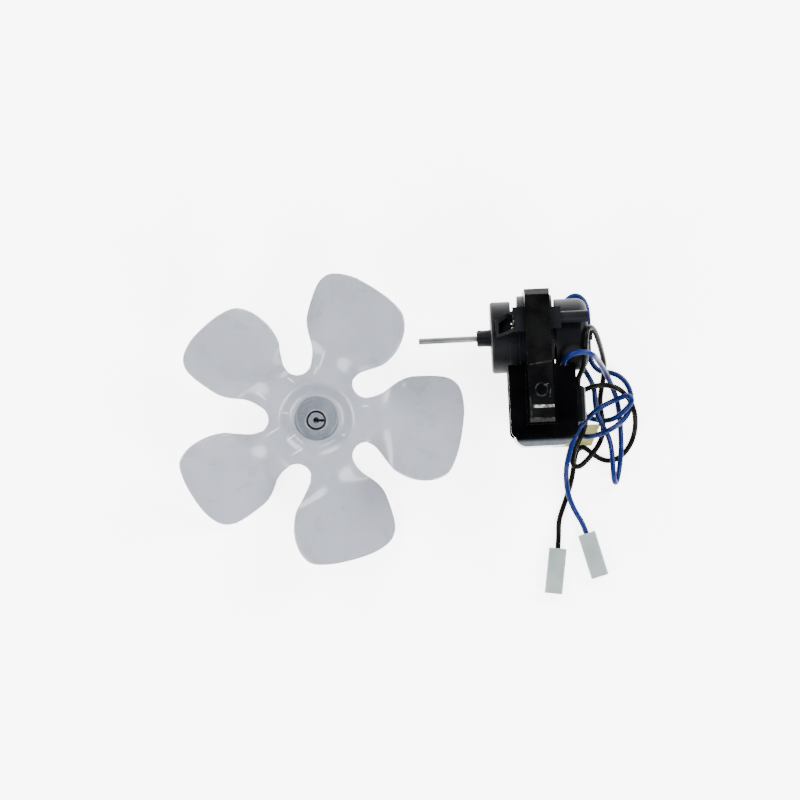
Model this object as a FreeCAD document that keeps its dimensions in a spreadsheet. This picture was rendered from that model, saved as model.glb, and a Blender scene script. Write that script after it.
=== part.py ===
import FreeCAD, Part
import math
import os
import re
import Sketcher

# A small open-frame shaded-pole fan motor lying on one leg of its frame, with its push-on fan beside it.
# X runs along the shaft, whose free end points to -X. Z is up. The origin is midway between the two
# mounting posts, in the plane of their ends. Every piece of the motor is drawn about the shaft's axis at
# the middle of the lamination stack, and its Placement moves it to the origin.

Vector = FreeCAD.Vector

# Driving dimensions in millimetres and degrees, each with what it sizes.
SIZES = [
    ("mount_reach", 26.0, "middle of the stack to the mounting posts' ends"),
    ("stack_thick", 12.7, "lamination stack along the shaft"),
    ("frame_width", 61.0, "frame across its two legs"),
    ("frame_top", 23.0, "shaft axis to the closed end of the frame"),
    ("leg_reach", 45.0, "shaft axis to the legs' ends"),
    ("leg_width", 13.0, "width of one leg"),
    ("window_top", 15.0, "shaft axis to the coil window"),
    ("frame_bevel", 3.0, "bevel on the frame's closed corners"),
    ("leg_bevel", 1.5, "bevel on the legs' ends"),
    ("rotor_radius", 12.9, "rotor core"),
    ("air_gap", 0.35, "rotor to pole, radial"),
    ("saddle_width", 3.0, "relief between the poles"),
    ("saddle_depth", 1.2, "relief between the poles"),
    ("core_height", 12.0, "coil core across the legs' length"),
    ("core_drop", 34.0, "shaft axis to the coil core"),
    ("core_notch", 3.0, "coil core's ends into the legs"),
    ("screw_rise", 8.0, "bracket screws above the shaft axis"),
    ("screw_inset", 6.5, "bracket screws inside the legs' outer sides"),
    ("screw_spread", "=frame_width / 2 - screw_inset", "bracket screws from the shaft axis, sideways"),
    ("screw_radius", 1.75, "bracket screw shank"),
    ("screw_clear", 0.25, "screw to its hole in the stack"),
    ("screw_grip", 8.0, "screw beyond the stack"),
    ("screw_bore", 11.0, "screw's bore in a mounting post, beyond the stack"),
    ("screw_head", 3.1, "screw head radius"),
    ("head_height", 2.2, "screw head height"),
    ("slot_width", 0.8, "screwdriver slot"),
    ("slot_depth", 1.0, "screwdriver slot"),
    ("pilot_radius", 1.4, "pilot hole in a mounting post"),
    ("ring_bar", 2.0, "shading ring bar, square"),
    ("ring_hole", 1.5, "radius of a shading ring's hole"),
    ("ring_outer_y", 7.5, "shading ring, outer bar, from the axis along the legs"),
    ("ring_outer_z", 14.8, "shading ring, outer bar, sideways"),
    ("ring_inner_y", 12.6, "shading ring, inner bar, from the axis along the legs"),
    ("ring_inner_z", 8.8, "shading ring, inner bar, sideways"),
    ("tube_wall", 1.2, "bobbin tube wall"),
    ("fit_clear", 0.1, "clearance of moulded parts over steel"),
    ("flange_front", 16.0, "bobbin flange ahead of the stack's middle"),
    ("flange_rear", 18.5, "bobbin flange behind the stack's middle"),
    ("flange_drop", 53.0, "shaft axis to the flange's lower edge"),
    ("flange_thick", 1.7, "bobbin flange"),
    ("flange_round", 4.6, "bobbin flange's lower corners"),
    ("channel_wall", 1.1, "channel round a leg"),
    ("channel_inset", 2.5, "channel's edge inside the leg's outer side"),
    ("channel_rise", "=leg_width - channel_inset", "channel up the leg's side"),
    ("wrap_gap", 3.9, "bobbin flange to the coil wrap, at its top"),
    ("wrap_front", 14.0, "coil wrap ahead of the stack's middle"),
    ("wrap_rear", 16.2, "coil wrap behind the stack's middle"),
    ("wrap_drop", 57.0, "shaft axis to the coil wrap's lower face"),
    ("wound_drop", 51.5, "shaft axis to the winding's lower face"),
    ("wrap_thick", 0.5, "coil wrap tape"),
    ("wrap_round", 6.0, "coil wrap's corners"),
    ("splice_reach", 7.0, "bulge over the splices beyond the wrap"),
    ("splice_top", 27.0, "shaft axis to the bulge's upper edge"),
    ("splice_bottom", 45.5, "shaft axis to the bulge's lower edge"),
    ("splice_inset", 3.3, "bulge inside the flanges"),
    ("splice_width", "=frame_width - 2 * (leg_width + flange_thick + splice_inset)", "bulge across the legs"),
    ("splice_round", 2.5, "bulge's corners"),
    ("socket_depth", 3.0, "lead's end inside the bulge"),
    ("notch_front", 10.2, "lead's notch in the near flange, behind the stack's middle"),
    ("notch_rear", 15.0, "lead's notch in the near flange, behind the stack's middle"),
    ("notch_depth", 1.6, "lead's notch in the near flange"),
    ("film_thick", 0.2, "insulating film"),
    ("film_reach", 31.8, "film's free edge behind the stack's middle"),
    ("film_slant", 5.2, "film's free edge, slant"),
    ("film_top", 46.0, "shaft axis to the film's upper edge"),
    ("film_bottom", 57.0, "shaft axis to the film's lower edge"),
    ("seat_inner", 18.6, "bracket ring, inner radius"),
    ("seat_outer", 21.0, "bracket ring, outer radius"),
    ("front_ring", 3.3, "front bracket ring's thickness"),
    ("skirt_inner", 17.0, "skirt between the front cup and its ring, inner radius"),
    ("skirt_outer", 19.0, "skirt between the front cup and its ring, outer radius"),
    ("skirt_start", 84.0, "skirt's end beside the arm, from the axis away from the coil, degrees"),
    ("skirt_step", 9.5, "skirt, degrees for each of its flats"),
    ("arm_gap", 1.5, "slot between an arm and its foot"),
    ("arm_gap_low", 3.8, "slot's lower end above the axis"),
    ("arm_gap_high", 8.4, "slot's upper end above the axis"),
    ("rear_ring", 1.7, "rear bracket ring's thickness"),
    ("ring_flat", 14.8, "shaft axis to the rings' flat, over the coil"),
    ("cup_radius", 18.4, "front cup"),
    ("cup_wall", 1.8, "cups' walls"),
    ("cup_face", 23.7, "front cup's face ahead of the stack's middle"),
    ("cup_depth", 10.3, "front cup along the shaft"),
    ("cup_round", 1.2, "front cup's edge"),
    ("nose_radius", 3.7, "front nose"),
    ("nose_reach", 7.3, "front nose ahead of the cup's face"),
    ("nose_flare", 0.8, "nose's root beyond its tip, radial"),
    ("rib_width", 1.0, "ribs along the nose"),
    ("rib_rise", 0.5, "ribs above the nose"),
    ("rib_stop", 0.4, "ribs' ends behind the nose's end"),
    ("nose_bore", 2.1, "shaft's way through the nose"),
    ("foot_low", 1.6, "feet's lower side above the axis"),
    ("foot_high", 14.0, "feet's upper side above the axis"),
    ("foot_in", 17.6, "feet's inner side"),
    ("foot_inset", 2.5, "feet inside the legs' outer sides"),
    ("foot_out", "=frame_width / 2 - foot_inset", "feet's outer side"),
    ("front_foot", 6.2, "front feet's height above the stack"),
    ("rear_foot", 5.4, "rear feet's height above the stack"),
    ("rear_foot_low", 2.5, "rear feet's lower side above the axis"),
    ("rear_foot_high", 13.3, "rear feet's upper side above the axis"),
    ("rear_foot_in", 11.0, "rear feet's inner side"),
    ("arm_in", 12.0, "arms' root inside the cup"),
    ("arm_tip", 0.9, "arm's outer side beyond the cup, at the cup"),
    ("arm_draft", 0.6, "arm's outer side inside the foot's, at the foot"),
    ("arm_wall", 1.6, "arms' ribs"),
    ("arm_nose_low", -0.9, "arm's lower side at the cup"),
    ("arm_nose_high", 8.1, "arm's upper side at the cup"),
    ("arm_reach", 21.5, "arms' end ahead of the stack's middle"),
    ("rear_cup_radius", 18.5, "rear cup"),
    ("rear_cup_start", 9.4, "rear cup's open rim behind the stack's middle"),
    ("rear_cup_end", 20.6, "rear cup's web behind the stack's middle"),
    ("post_radius", 3.0, "mounting post"),
    ("gusset_thick", 2.0, "web between a post and its cup"),
    ("cap_round", 5.0, "rear cap's edge"),
    ("cap_wall", 1.5, "rear cap's wall"),
    ("cap_boss", 3.4, "boss on the rear cap"),
    ("cap_boss_rise", 2.6, "boss on the rear cap"),
    ("boss_bevel", 0.4, "bevel on the rear cap's boss"),
    ("shaft_radius", 1.5875, "shaft"),
    ("shaft_free", 61.0, "shaft's free end ahead of the stack's middle"),
    ("shaft_back", 22.5, "shaft's other end behind the stack's middle"),
    ("shaft_bevel", 0.4, "bevel on the shaft's ends"),
    ("run_clear", 0.04, "shaft to bearing, radial"),
    ("ball_radius", 5.5, "spherical bearing"),
    ("ball_length", 7.0, "bearing along the shaft"),
    ("front_ball", 17.2, "front bearing ahead of the stack's middle"),
    ("rear_ball", 16.3, "rear bearing behind the stack's middle"),
    ("seat_clear", 0.02, "bearing to its seat"),
    ("boss_radius", 7.9, "bearing seat's boss"),
    ("felt_outer", 14.0, "oil felt, outer radius"),
    ("felt_gap", 0.15, "oil felt to its neighbours"),
    ("clip_thick", 0.4, "spring retainer"),
    ("clip_lip", 4.4, "spring retainer's lip on the ball"),
    ("clip_knee", 11.5, "spring retainer's flat rim, inner radius"),
    ("ledge_radius", 14.4, "ledge that holds the retainer's rim"),
    ("cage_ring", 3.6, "end ring's height"),
    ("cage_inner", 6.8, "end ring's inner radius"),
    ("bar_circle", 11.2, "rotor bars' circle"),
    ("bar_radius", 1.1, "rotor bar"),
    ("washer_radius", 3.4, "thrust washer"),
    ("washer_thick", 0.5, "thrust washer"),
    ("slinger_radius", 5.2, "oil slinger"),
    ("slinger_thick", 1.4, "oil slinger"),
    ("end_float", 0.15, "rotor's end play, each side"),
    ("fan_radius", 77.0, "fan's tip"),
    ("fan_place_x", -141.4, "fan's centre"),
    ("fan_place_y", -44.3, "fan's centre"),
    ("fan_turn", -2.8, "first blade from +X, degrees"),
    ("fan_lean_axis", -8.0, "line that the fan leans about, from +X, degrees"),
    ("fan_pitch", 28.0, "blades' pitch, degrees"),
    ("blade_count", 5, "blades"),
    ("blade_width", 49.3, "blade's greatest width"),
    ("blade_margin", 6.0, "blade's slab beyond its outline"),
    ("blade_thick", 1.5, "blade"),
    ("blade_camber", 2.0, "blade's camber at its edges"),
    ("twist_start", 24.0, "fan's axis to where a blade starts to twist"),
    ("twist_run", 16.0, "length over which a blade reaches its pitch"),
    ("spider_radius", 30.0, "fan's spider before it is notched"),
    ("spider_thick", 1.8, "fan's spider"),
    ("spider_rise", 5.0, "spider's rim above its centre"),
    ("notch_radius", 7.4, "notch between two blades' roots"),
    ("notch_centre", 32.2, "notch's centre from the fan's axis"),
    ("neck_lap", 0.15, "blade's root beyond the notches' edges, cut away by them"),
    ("hub_root", 10.2, "hub's cone at its foot"),
    ("hub_top", 5.9, "hub's cone at its top"),
    ("hub_rise", 8.5, "hub above the spider's centre"),
    ("hub_barrel", 6.5, "hub's barrel behind the spider"),
    ("hub_depth", 19.0, "hub's barrel behind the spider's centre"),
    ("barrel_edge", 0.8, "bevel on the barrel's end"),
    ("barrel_swell", 1.2, "barrel's root beyond its end, radial"),
    ("barrel_root", 1.5, "barrel's root behind the spider's centre"),
    ("dish_start", 2.0, "foot of the cone to the dish's lower edge"),
    ("dish_end", 10.5, "foot of the cone to the dish's upper edge"),
    ("dish_lap", 1.0, "dish's upper edge, front face inside the rear face"),
    ("step_in", 1.4, "foot of the cone to the step round it"),
    ("step_out", 2.5, "foot of the cone to the step's outer edge"),
    ("step_rise", 0.6, "step round the cone"),
    ("fan_bore", 1.62, "fan's bore on the shaft"),
    ("collet_radius", 4.1, "split collet in the hub"),
    ("collet_moat", 5.1, "recess round the collet"),
    ("moat_depth", 5.0, "recess round the collet"),
    ("collet_slot", 1.4, "slot through the collet"),
    ("spring_wire", 0.45, "spring ring's wire radius"),
    ("spring_drop", 1.0, "spring ring below the hub's top"),
    ("lead_radius", 1.4, "lead over its insulation"),
    ("housing_width", 9.2, "connector housing"),
    ("housing_length", 23.6, "connector housing"),
    ("housing_height", 6.4, "connector housing"),
    ("housing_wall", 1.1, "connector housing's walls"),
    ("housing_round", 1.2, "connector housing's edges"),
    ("tab_width", 6.4, "receptacle"),
    ("tab_height", 2.6, "receptacle"),
    ("tab_length", 12.0, "receptacle"),
    ("tab_metal", 0.4, "receptacle's metal"),
    ("tab_lip", 1.9, "receptacle's rolled lips"),
    ("tab_barrel", 1.9, "receptacle's crimp barrel"),
    ("barrel_start", 2.0, "crimp barrel's start inside the housing"),
    ("lead_inset", 5.0, "lead's end inside the housing"),
    ("mouth_width", 7.0, "connector housing's mouth for the mating tab"),
    ("mouth_height", 1.8, "connector housing's mouth for the mating tab"),
    ("latch_length", 6.0, "window for the receptacle's latch"),
    ("latch_width", 2.2, "window for the receptacle's latch"),
    ("black_end_x", -19.56, "black lead's housing, its wire end"),
    ("black_end_y", -117.64, "black lead's housing, its wire end"),
    ("black_way", -98.45, "black lead's housing, from +X, degrees"),
    ("blue_end_x", -4.32, "blue lead's housing, its wire end"),
    ("blue_end_y", -110.49, "blue lead's housing, its wire end"),
    ("blue_way", -75.38, "blue lead's housing, from +X, degrees"),
]

BAR_COUNT = 14
ARC_SHARE = 0.45

# Sections of a blade's slab: shares of the twist's length, from the twist's start
STRIP_SHARES = (-0.03, 0.19, 0.5, 0.81, 1.13, 2.25)

# A blade's outline from one neck round the tip to the other: shares of the tip radius and the half width
BLADE_OUTLINE = [
    (0.400, 0.497),
    (0.459, 0.568),
    (0.499, 0.655),
    (0.558, 0.773),
    (0.627, 0.854),
    (0.725, 0.876),
    (0.836, 0.868),
    (0.909, 0.807),
    (0.964, 0.649),
    (0.992, 0.365),
    (0.993, 0.020),
    (0.976, -0.341),
    (0.954, -0.617),
    (0.915, -0.897),
    (0.867, -1.039),
    (0.779, -1.124),
    (0.675, -1.116),
    (0.587, -1.030),
    (0.510, -0.892),
    (0.449, -0.702),
    (0.396, -0.544),
]

# The leads' routes, from the splices to the receptacles: corners of straight runs
BLACK_ROUTE = [
    (-6.6, -38.5, 6.3),
    (-6.5, -32.5, 7.8),
    (-5.2, -29.0, 9.8),
    (-3.4, -26.2, 12.7),
    (-2.6, -21.4, 16.5),
    (-2.1, -16.1, 19.1),
    (-1.6, -10.5, 19.8),
    (-0.7, -6.4, 18.8),
    (1.3, -5.2, 16.1),
    (3.1, -6.8, 11.9),
    (4.7, -9.9, 6.0),
    (5.9, -13.1, -0.3),
    (7.0, -16.3, -6.6),
    (8.0, -19.7, -12.7),
    (8.7, -23.6, -18.4),
    (8.6, -28.0, -23.2),
    (7.7, -33.2, -26.9),
    (6.6, -38.1, -28.9),
    (6.0, -42.8, -28.2),
    (6.2, -47.8, -24.4),
    (6.8, -52.6, -23.1),
    (6.9, -57.3, -23.8),
    (6.0, -61.2, -26.8),
    (4.2, -64.8, -26.0),
    (1.0, -69.1, -25.5),
    (-3.1, -73.3, -25.9),
    (-6.4, -75.9, -25.5),
    (-9.6, -75.3, -25.5),
    (-9.9, -71.3, -25.5),
    (-8.4, -66.5, -25.5),
    (-6.1, -62.4, -23.7),
    (-3.7, -58.0, -23.4),
    (-2.1, -53.7, -24.9),
    (-2.0, -49.2, -25.2),
    (-3.7, -45.1, -25.7),
    (-5.6, -41.5, -27.8),
    (-4.7, -37.8, -23.9),
    (-1.2, -35.7, -18.8),
    (3.2, -34.4, -18.5),
    (8.4, -34.1, -19.2),
    (13.4, -35.2, -19.2),
    (17.1, -37.4, -20.4),
    (19.9, -40.1, -23.6),
    (22.3, -44.2, -23.7),
    (23.7, -49.5, -23.7),
    (23.9, -54.4, -25.9),
    (23.3, -59.2, -29.0),
    (21.5, -64.3, -29.1),
    (18.1, -69.3, -29.1),
    (13.7, -72.6, -29.1),
    (8.9, -73.6, -29.1),
    (4.1, -71.9, -29.1),
    (-0.4, -68.1, -29.1),
    (-3.8, -65.3, -28.8),
    (-7.1, -66.7, -28.9),
    (-8.6, -71.2, -29.1),
    (-9.6, -77.8, -29.1),
    (-11.3, -84.6, -29.1),
    (-13.7, -91.3, -29.1),
    (-16.4, -97.9, -29.1),
    (-18.6, -104.1, -28.7),
    (-18.9, -113.19, -27.3),
    (-20.3, -122.59, -27.3),
]
BLUE_ROUTE = [
    (-13.8, -27.35, 13.3),
    (-13.8, -23.6, 14.2),
    (-13.2, -21.8, 17.9),
    (-11.2, -19.8, 21.7),
    (-7.7, -18.5, 23.6),
    (-3.7, -18.2, 23.3),
    (-0.9, -18.6, 22.3),
    (2.1, -20.2, 20.4),
    (3.7, -21.4, 9.7),
    (5.3, -23.0, 2.5),
    (6.8, -24.8, -4.3),
    (8.3, -26.7, -10.9),
    (9.8, -29.2, -17.2),
    (11.4, -32.4, -22.7),
    (13.1, -36.4, -26.6),
    (14.9, -41.4, -28.5),
    (15.7, -47.7, -29.1),
    (16.1, -54.7, -29.1),
    (16.1, -60.5, -28.7),
    (15.9, -65.4, -26.0),
    (15.4, -70.7, -25.5),
    (14.6, -76.2, -26.0),
    (13.8, -80.6, -28.2),
    (12.7, -84.4, -28.2),
    (11.7, -85.1, -25.5),
    (11.1, -82.7, -22.8),
    (10.9, -78.3, -22.2),
    (10.9, -72.5, -23.1),
    (10.7, -68.4, -24.6),
    (10.3, -64.7, -23.0),
    (9.0, -60.2, -20.0),
    (6.5, -55.4, -19.5),
    (4.1, -50.0, -19.5),
    (3.4, -45.5, -21.0),
    (3.2, -40.7, -21.6),
    (3.1, -35.8, -22.1),
    (1.9, -31.5, -26.6),
    (-0.2, -27.2, -29.1),
    (-3.2, -21.7, -29.1),
    (-6.2, -15.4, -29.1),
    (-8.4, -8.8, -29.1),
    (-10.0, -2.0, -29.1),
    (-10.9, 4.3, -29.1),
    (-10.0, 9.4, -29.1),
    (-7.4, 12.7, -29.1),
    (-3.9, 13.7, -29.1),
    (-0.6, 12.0, -29.1),
    (1.5, 7.9, -29.1),
    (2.0, 1.9, -29.1),
    (1.8, -5.1, -29.1),
    (1.4, -12.1, -29.1),
    (1.6, -18.5, -29.1),
    (3.5, -23.5, -29.1),
    (6.8, -26.6, -29.1),
    (11.1, -27.2, -29.1),
    (15.9, -28.8, -29.1),
    (19.8, -32.3, -29.1),
    (22.2, -37.4, -29.1),
    (22.5, -42.6, -29.0),
    (21.4, -47.3, -26.9),
    (19.0, -51.1, -25.5),
    (16.0, -53.9, -24.3),
    (12.5, -56.3, -17.6),
    (8.7, -58.2, -15.9),
    (4.7, -59.6, -16.6),
    (-0.1, -60.5, -23.4),
    (-4.7, -59.7, -28.2),
    (-7.2, -57.0, -28.8),
    (-7.3, -53.5, -28.8),
    (-5.0, -50.7, -28.8),
    (-1.0, -50.3, -28.8),
    (3.7, -51.7, -28.7),
    (8.4, -52.6, -26.6),
    (12.6, -51.8, -23.4),
    (15.9, -49.7, -23.0),
    (18.6, -47.6, -19.9),
    (20.9, -45.3, -18.4),
    (22.6, -42.5, -18.4),
    (20.4, -40.0, -18.4),
    (16.7, -41.0, -18.4),
    (13.0, -42.4, -20.1),
    (9.4, -43.9, -19.0),
    (5.6, -45.8, -16.1),
    (1.7, -48.4, -16.0),
    (-1.6, -51.2, -18.3),
    (-4.6, -54.2, -21.0),
    (-7.5, -58.5, -21.1),
    (-9.8, -63.7, -21.4),
    (-11.7, -69.3, -21.6),
    (-13.2, -75.0, -21.6),
    (-13.6, -79.3, -24.0),
    (-13.6, -83.9, -25.5),
    (-12.9, -89.9, -25.5),
    (-11.1, -95.6, -25.6),
    (-9.0, -100.1, -27.7),
    (-5.45, -106.13, -27.3),
    (-3.06, -115.33, -27.3),
]

doc = FreeCAD.newDocument("fan_motor")
sheet = doc.addObject("Spreadsheet::Sheet", "Sizes")
for row, (alias, value, note) in enumerate(SIZES, start=1):
    sheet.set("A%d" % row, note)
    sheet.set("B%d" % row, str(value))
    sheet.setAlias("B%d" % row, alias)
doc.recompute()


def size(alias):
    """A driving dimension, read from the sheet."""
    return float(sheet.get(alias))


def bind(item, prop, text):
    """Binds a property to a formula of the sheet's aliases: every word with an underscore is an alias."""
    item.setExpression(prop, re.sub(r"[a-z]+(?:_[a-z]+)+", lambda found: "Sizes." + found.group(0), str(text)))


parts = []


def finish(item, label, in_motor=True):
    """Names a finished sub-part, and moves what was drawn about the stack's middle to the origin."""
    item.Label = label
    if in_motor:
        bind(item, "Placement.Base.x", "-mount_reach")
        bind(item, "Placement.Base.y", "-screw_rise")
    parts.append(item)
    return item


def new_body(label, in_motor=True):
    """A body that is a sub-part of its own."""
    body = doc.addObject("PartDesign::Body", label)
    body.AllowCompound = True
    return finish(body, label, in_motor)


def new_sketch(body, plane, offset="0"):
    """A sketch on one of the body's origin planes, moved along the plane's normal by offset."""
    sketch = body.newObject("Sketcher::SketchObject", "Sketch")
    sketch.AttachmentSupport = [(item, "") for item in body.Origin.OriginFeatures if item.Role == plane]
    sketch.MapMode = "FlatFace"
    bind(sketch, "AttachmentOffset.Base.z", offset)
    return sketch


def polygon(sketch, corners):
    """A closed outline through corners, each held by two formulas measured from the sketch's origin."""
    first = sketch.GeometryCount
    count = len(corners)
    start = []
    for index in range(count):
        angle = 2 * math.pi * index / count
        start.append(Vector(10 * math.cos(angle), 10 * math.sin(angle), 0))
    for index in range(count):
        sketch.addGeometry(Part.LineSegment(start[index], start[(index + 1) % count]))
    for index in range(count):
        follower = first + (index + 1) % count
        sketch.addConstraint(Sketcher.Constraint("Coincident", first + index, 2, follower, 1))
    for index, (across, up) in enumerate(corners):
        for kind, text in (("DistanceX", across), ("DistanceY", up)):
            number = sketch.addConstraint(Sketcher.Constraint(kind, -1, 1, first + index, 1, 1.0))
            bind(sketch, "Constraints[%d]" % number, text)


def circle(sketch, across, up, radius):
    """A circle whose centre and radius are formulas."""
    index = sketch.addGeometry(Part.Circle(Vector(1, 1, 0), Vector(0, 0, 1), 1))
    for kind, text in (("DistanceX", across), ("DistanceY", up)):
        number = sketch.addConstraint(Sketcher.Constraint(kind, -1, 1, index, 3, 1.0))
        bind(sketch, "Constraints[%d]" % number, text)
    number = sketch.addConstraint(Sketcher.Constraint("Radius", index, 1.0))
    bind(sketch, "Constraints[%d]" % number, radius)


def extrude(body, sketch, length, cut=False):
    """Pads or pockets a sketch by length, half to each side of it."""
    feature = body.newObject("PartDesign::Pocket" if cut else "PartDesign::Pad", "Extrude")
    feature.Profile = sketch
    feature.Midplane = True
    bind(feature, "Length", length)
    sketch.Visibility = False
    return feature


def slab(body, plane, corners, low, high, cut=False):
    """A straight prism of an outline, between two heights along the plane's normal."""
    sketch = new_sketch(body, plane, "((%s) + (%s)) / 2" % (low, high))
    polygon(sketch, corners)
    return extrude(body, sketch, "(%s) - (%s)" % (high, low), cut)


def rectangle(left, right, low, high):
    """The four corners of a rectangle."""
    return [(left, low), (right, low), (right, high), (left, high)]


def drill(body, plane, centres, radius, low, high, cut=True):
    """Round holes, or round posts if cut is false, between two heights along the plane's normal."""
    sketch = new_sketch(body, plane, "((%s) + (%s)) / 2" % (low, high))
    for across, up in centres:
        circle(sketch, across, up, radius)
    return extrude(body, sketch, "(%s) - (%s)" % (high, low), cut)


def turn(body, corners, cut=False, plane="XY_Plane", axis="H_Axis"):
    """Turns an outline right round an axis of its sketch."""
    sketch = new_sketch(body, plane)
    polygon(sketch, corners)
    feature = body.newObject("PartDesign::Groove" if cut else "PartDesign::Revolution", "Turn")
    feature.Profile = sketch
    feature.ReferenceAxis = (sketch, [axis])
    feature.Angle = 360
    sketch.Visibility = False
    return feature


def edges_of(base, wanted):
    """Names of the base's edges that the test wants."""
    doc.recompute()
    names = []
    for number, edge in enumerate(base.Shape.Edges, start=1):
        if wanted(edge):
            names.append("Edge%d" % number)
    return names


def round_edges(body, base, wanted, radius, kind="PartDesign::Fillet"):
    """Fillets or chamfers the edges of a feature that the test wants."""
    names = edges_of(base, wanted)
    feature = body.newObject(kind, "Round")
    feature.Base = (base, names)
    bind(feature, "Size" if kind.endswith("Chamfer") else "Radius", radius)
    return feature


def along(edge, axis):
    """Whether an edge is straight and runs along an axis."""
    if not isinstance(edge.Curve, Part.Line):
        return False
    direction = edge.Curve.Direction
    return abs(abs(direction.dot(axis)) - 1) < 1e-6


AXIS_X = Vector(1, 0, 0)
AXIS_Z = Vector(0, 0, 1)
HALF = "stack_thick / 2"
SIDES = ("", "-")


# Lamination stack: a C whose closed end carries the rotor, punched as one outline and stacked along X
stack = new_body("c_frame_stack")
leg_in = "(frame_width / 2 - leg_width)"
core_low = "-(core_drop + core_height / 2)"
core_high = "-(core_drop - core_height / 2)"
leg_outline = []
for side in SIDES:
    half_outline = [
        ("frame_top", "%s(frame_width / 2)" % side),
        ("-leg_reach", "%s(frame_width / 2)" % side),
        ("-leg_reach", "%s%s" % (side, leg_in)),
        (core_low, "%s%s" % (side, leg_in)),
        (core_low, "%s(%s + core_notch)" % (side, leg_in)),
        (core_high, "%s(%s + core_notch)" % (side, leg_in)),
        (core_high, "%s%s" % (side, leg_in)),
        ("-window_top", "%s%s" % (side, leg_in)),
    ]
    leg_outline += half_outline if side == "" else half_outline[::-1]
plate = slab(stack, "YZ_Plane", leg_outline, "-stack_thick / 2", HALF)
far = size("frame_width") / 2
top = round_edges(
    stack,
    plate,
    lambda edge: along(edge, AXIS_X)
    and abs(edge.CenterOfMass.y - size("frame_top")) < 0.01
    and abs(abs(edge.CenterOfMass.z) - far) < 0.01,
    "frame_bevel",
    "PartDesign::Chamfer",
)
round_edges(
    stack,
    top,
    lambda edge: along(edge, AXIS_X)
    and abs(edge.CenterOfMass.y + size("leg_reach")) < 0.01
    and abs(abs(edge.CenterOfMass.z) - far) < 0.01,
    "leg_bevel",
    "PartDesign::Chamfer",
)
drill(stack, "YZ_Plane", [("0", "0")], "rotor_radius + air_gap", "-stack_thick", "stack_thick")
slab(
    stack,
    "YZ_Plane",
    rectangle(
        "-(rotor_radius + air_gap + saddle_depth)",
        "rotor_radius + air_gap + saddle_depth",
        "-saddle_width / 2",
        "saddle_width / 2",
    ),
    "-stack_thick",
    "stack_thick",
    cut=True,
)
drill(
    stack,
    "YZ_Plane",
    [("screw_rise", "%sscrew_spread" % side) for side in SIDES],
    "screw_radius + screw_clear",
    "-stack_thick",
    "stack_thick",
)
drill(
    stack,
    "YZ_Plane",
    [
        ("ring_outer_y", "ring_outer_z"),
        ("ring_inner_y", "ring_inner_z"),
        ("-ring_outer_y", "-ring_outer_z"),
        ("-ring_inner_y", "-ring_inner_z"),
    ],
    "ring_hole",
    "-stack_thick",
    "stack_thick",
)

# Coil core: a straight stack of laminations pressed into notches in both legs
core = new_body("coil_core")
slab(
    core,
    "XZ_Plane",
    rectangle("-stack_thick / 2", HALF, "-(%s + core_notch)" % leg_in, "%s + core_notch" % leg_in),
    "core_drop - core_height / 2",
    "core_drop + core_height / 2",
)

# Bobbin: a tube round the core, a flange inside each leg, and a channel that holds the leg's end
bobbin = new_body("bobbin")
tube_out = "(stack_thick / 2 + fit_clear + tube_wall)"
tube_low = "-(core_drop + core_height / 2 + fit_clear + tube_wall)"
tube_high = "-(core_drop - core_height / 2 - fit_clear - tube_wall)"
channel_out = "(stack_thick / 2 + fit_clear + channel_wall)"
slab(
    bobbin,
    "XY_Plane",
    rectangle("-" + tube_out, tube_out, tube_low, tube_high),
    "-" + leg_in,
    leg_in,
)
for side, low, high in (("", "%s - flange_thick", "%s"), ("-", "-%s", "-(%s - flange_thick)")):
    flange = slab(
        bobbin,
        "XY_Plane",
        rectangle("-flange_front", "flange_rear", "-flange_drop", "-window_top"),
        low % leg_in,
        high % leg_in,
    )
round_edges(
    bobbin,
    flange,
    lambda edge: along(edge, AXIS_Z) and abs(edge.CenterOfMass.y + size("flange_drop")) < 0.01,
    "flange_round",
)
for low, high in (("%s", "%s + channel_rise"), ("-(%s + channel_rise)", "-%s")):
    slab(
        bobbin,
        "XY_Plane",
        rectangle("-" + channel_out, channel_out, "-(leg_reach + fit_clear + channel_wall)", "-window_top"),
        low % leg_in,
        high % leg_in,
    )
    slab(
        bobbin,
        "XY_Plane",
        rectangle(
            "-(stack_thick / 2 + fit_clear)",
            "stack_thick / 2 + fit_clear",
            "-(leg_reach + fit_clear)",
            "-(window_top - 1)",
        ),
        low % leg_in,
        high % leg_in,
        cut=True,
    )
slab(
    bobbin,
    "XY_Plane",
    rectangle(
        "-(stack_thick / 2 + fit_clear)",
        "stack_thick / 2 + fit_clear",
        "-(core_drop + core_height / 2 + fit_clear)",
        "-(core_drop - core_height / 2 - fit_clear)",
    ),
    "-(%s + core_notch)" % leg_in,
    "%s + core_notch" % leg_in,
    cut=True,
)

slab(
    bobbin,
    "XY_Plane",
    rectangle("notch_front", "notch_rear", "-(window_top + notch_depth)", "-(window_top - 1)"),
    "%s - flange_thick - 1" % leg_in,
    "%s + 1" % leg_in,
    cut=True,
)

# Winding: enamelled copper between the flanges, filled up to the wrap
winding = new_body("winding")
coil_end = "(%s - flange_thick)" % leg_in
wound = slab(
    winding,
    "XY_Plane",
    rectangle(
        "-(wrap_front - wrap_thick)",
        "wrap_rear - wrap_thick",
        "-wound_drop",
        "-(window_top + wrap_gap + wrap_thick)",
    ),
    "-" + coil_end,
    coil_end,
)
round_edges(winding, wound, lambda edge: along(edge, AXIS_Z), "wrap_round - wrap_thick")
slab(
    winding,
    "XY_Plane",
    rectangle("-" + tube_out, tube_out, tube_low, tube_high),
    "-" + coil_end,
    coil_end,
    cut=True,
)

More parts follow.
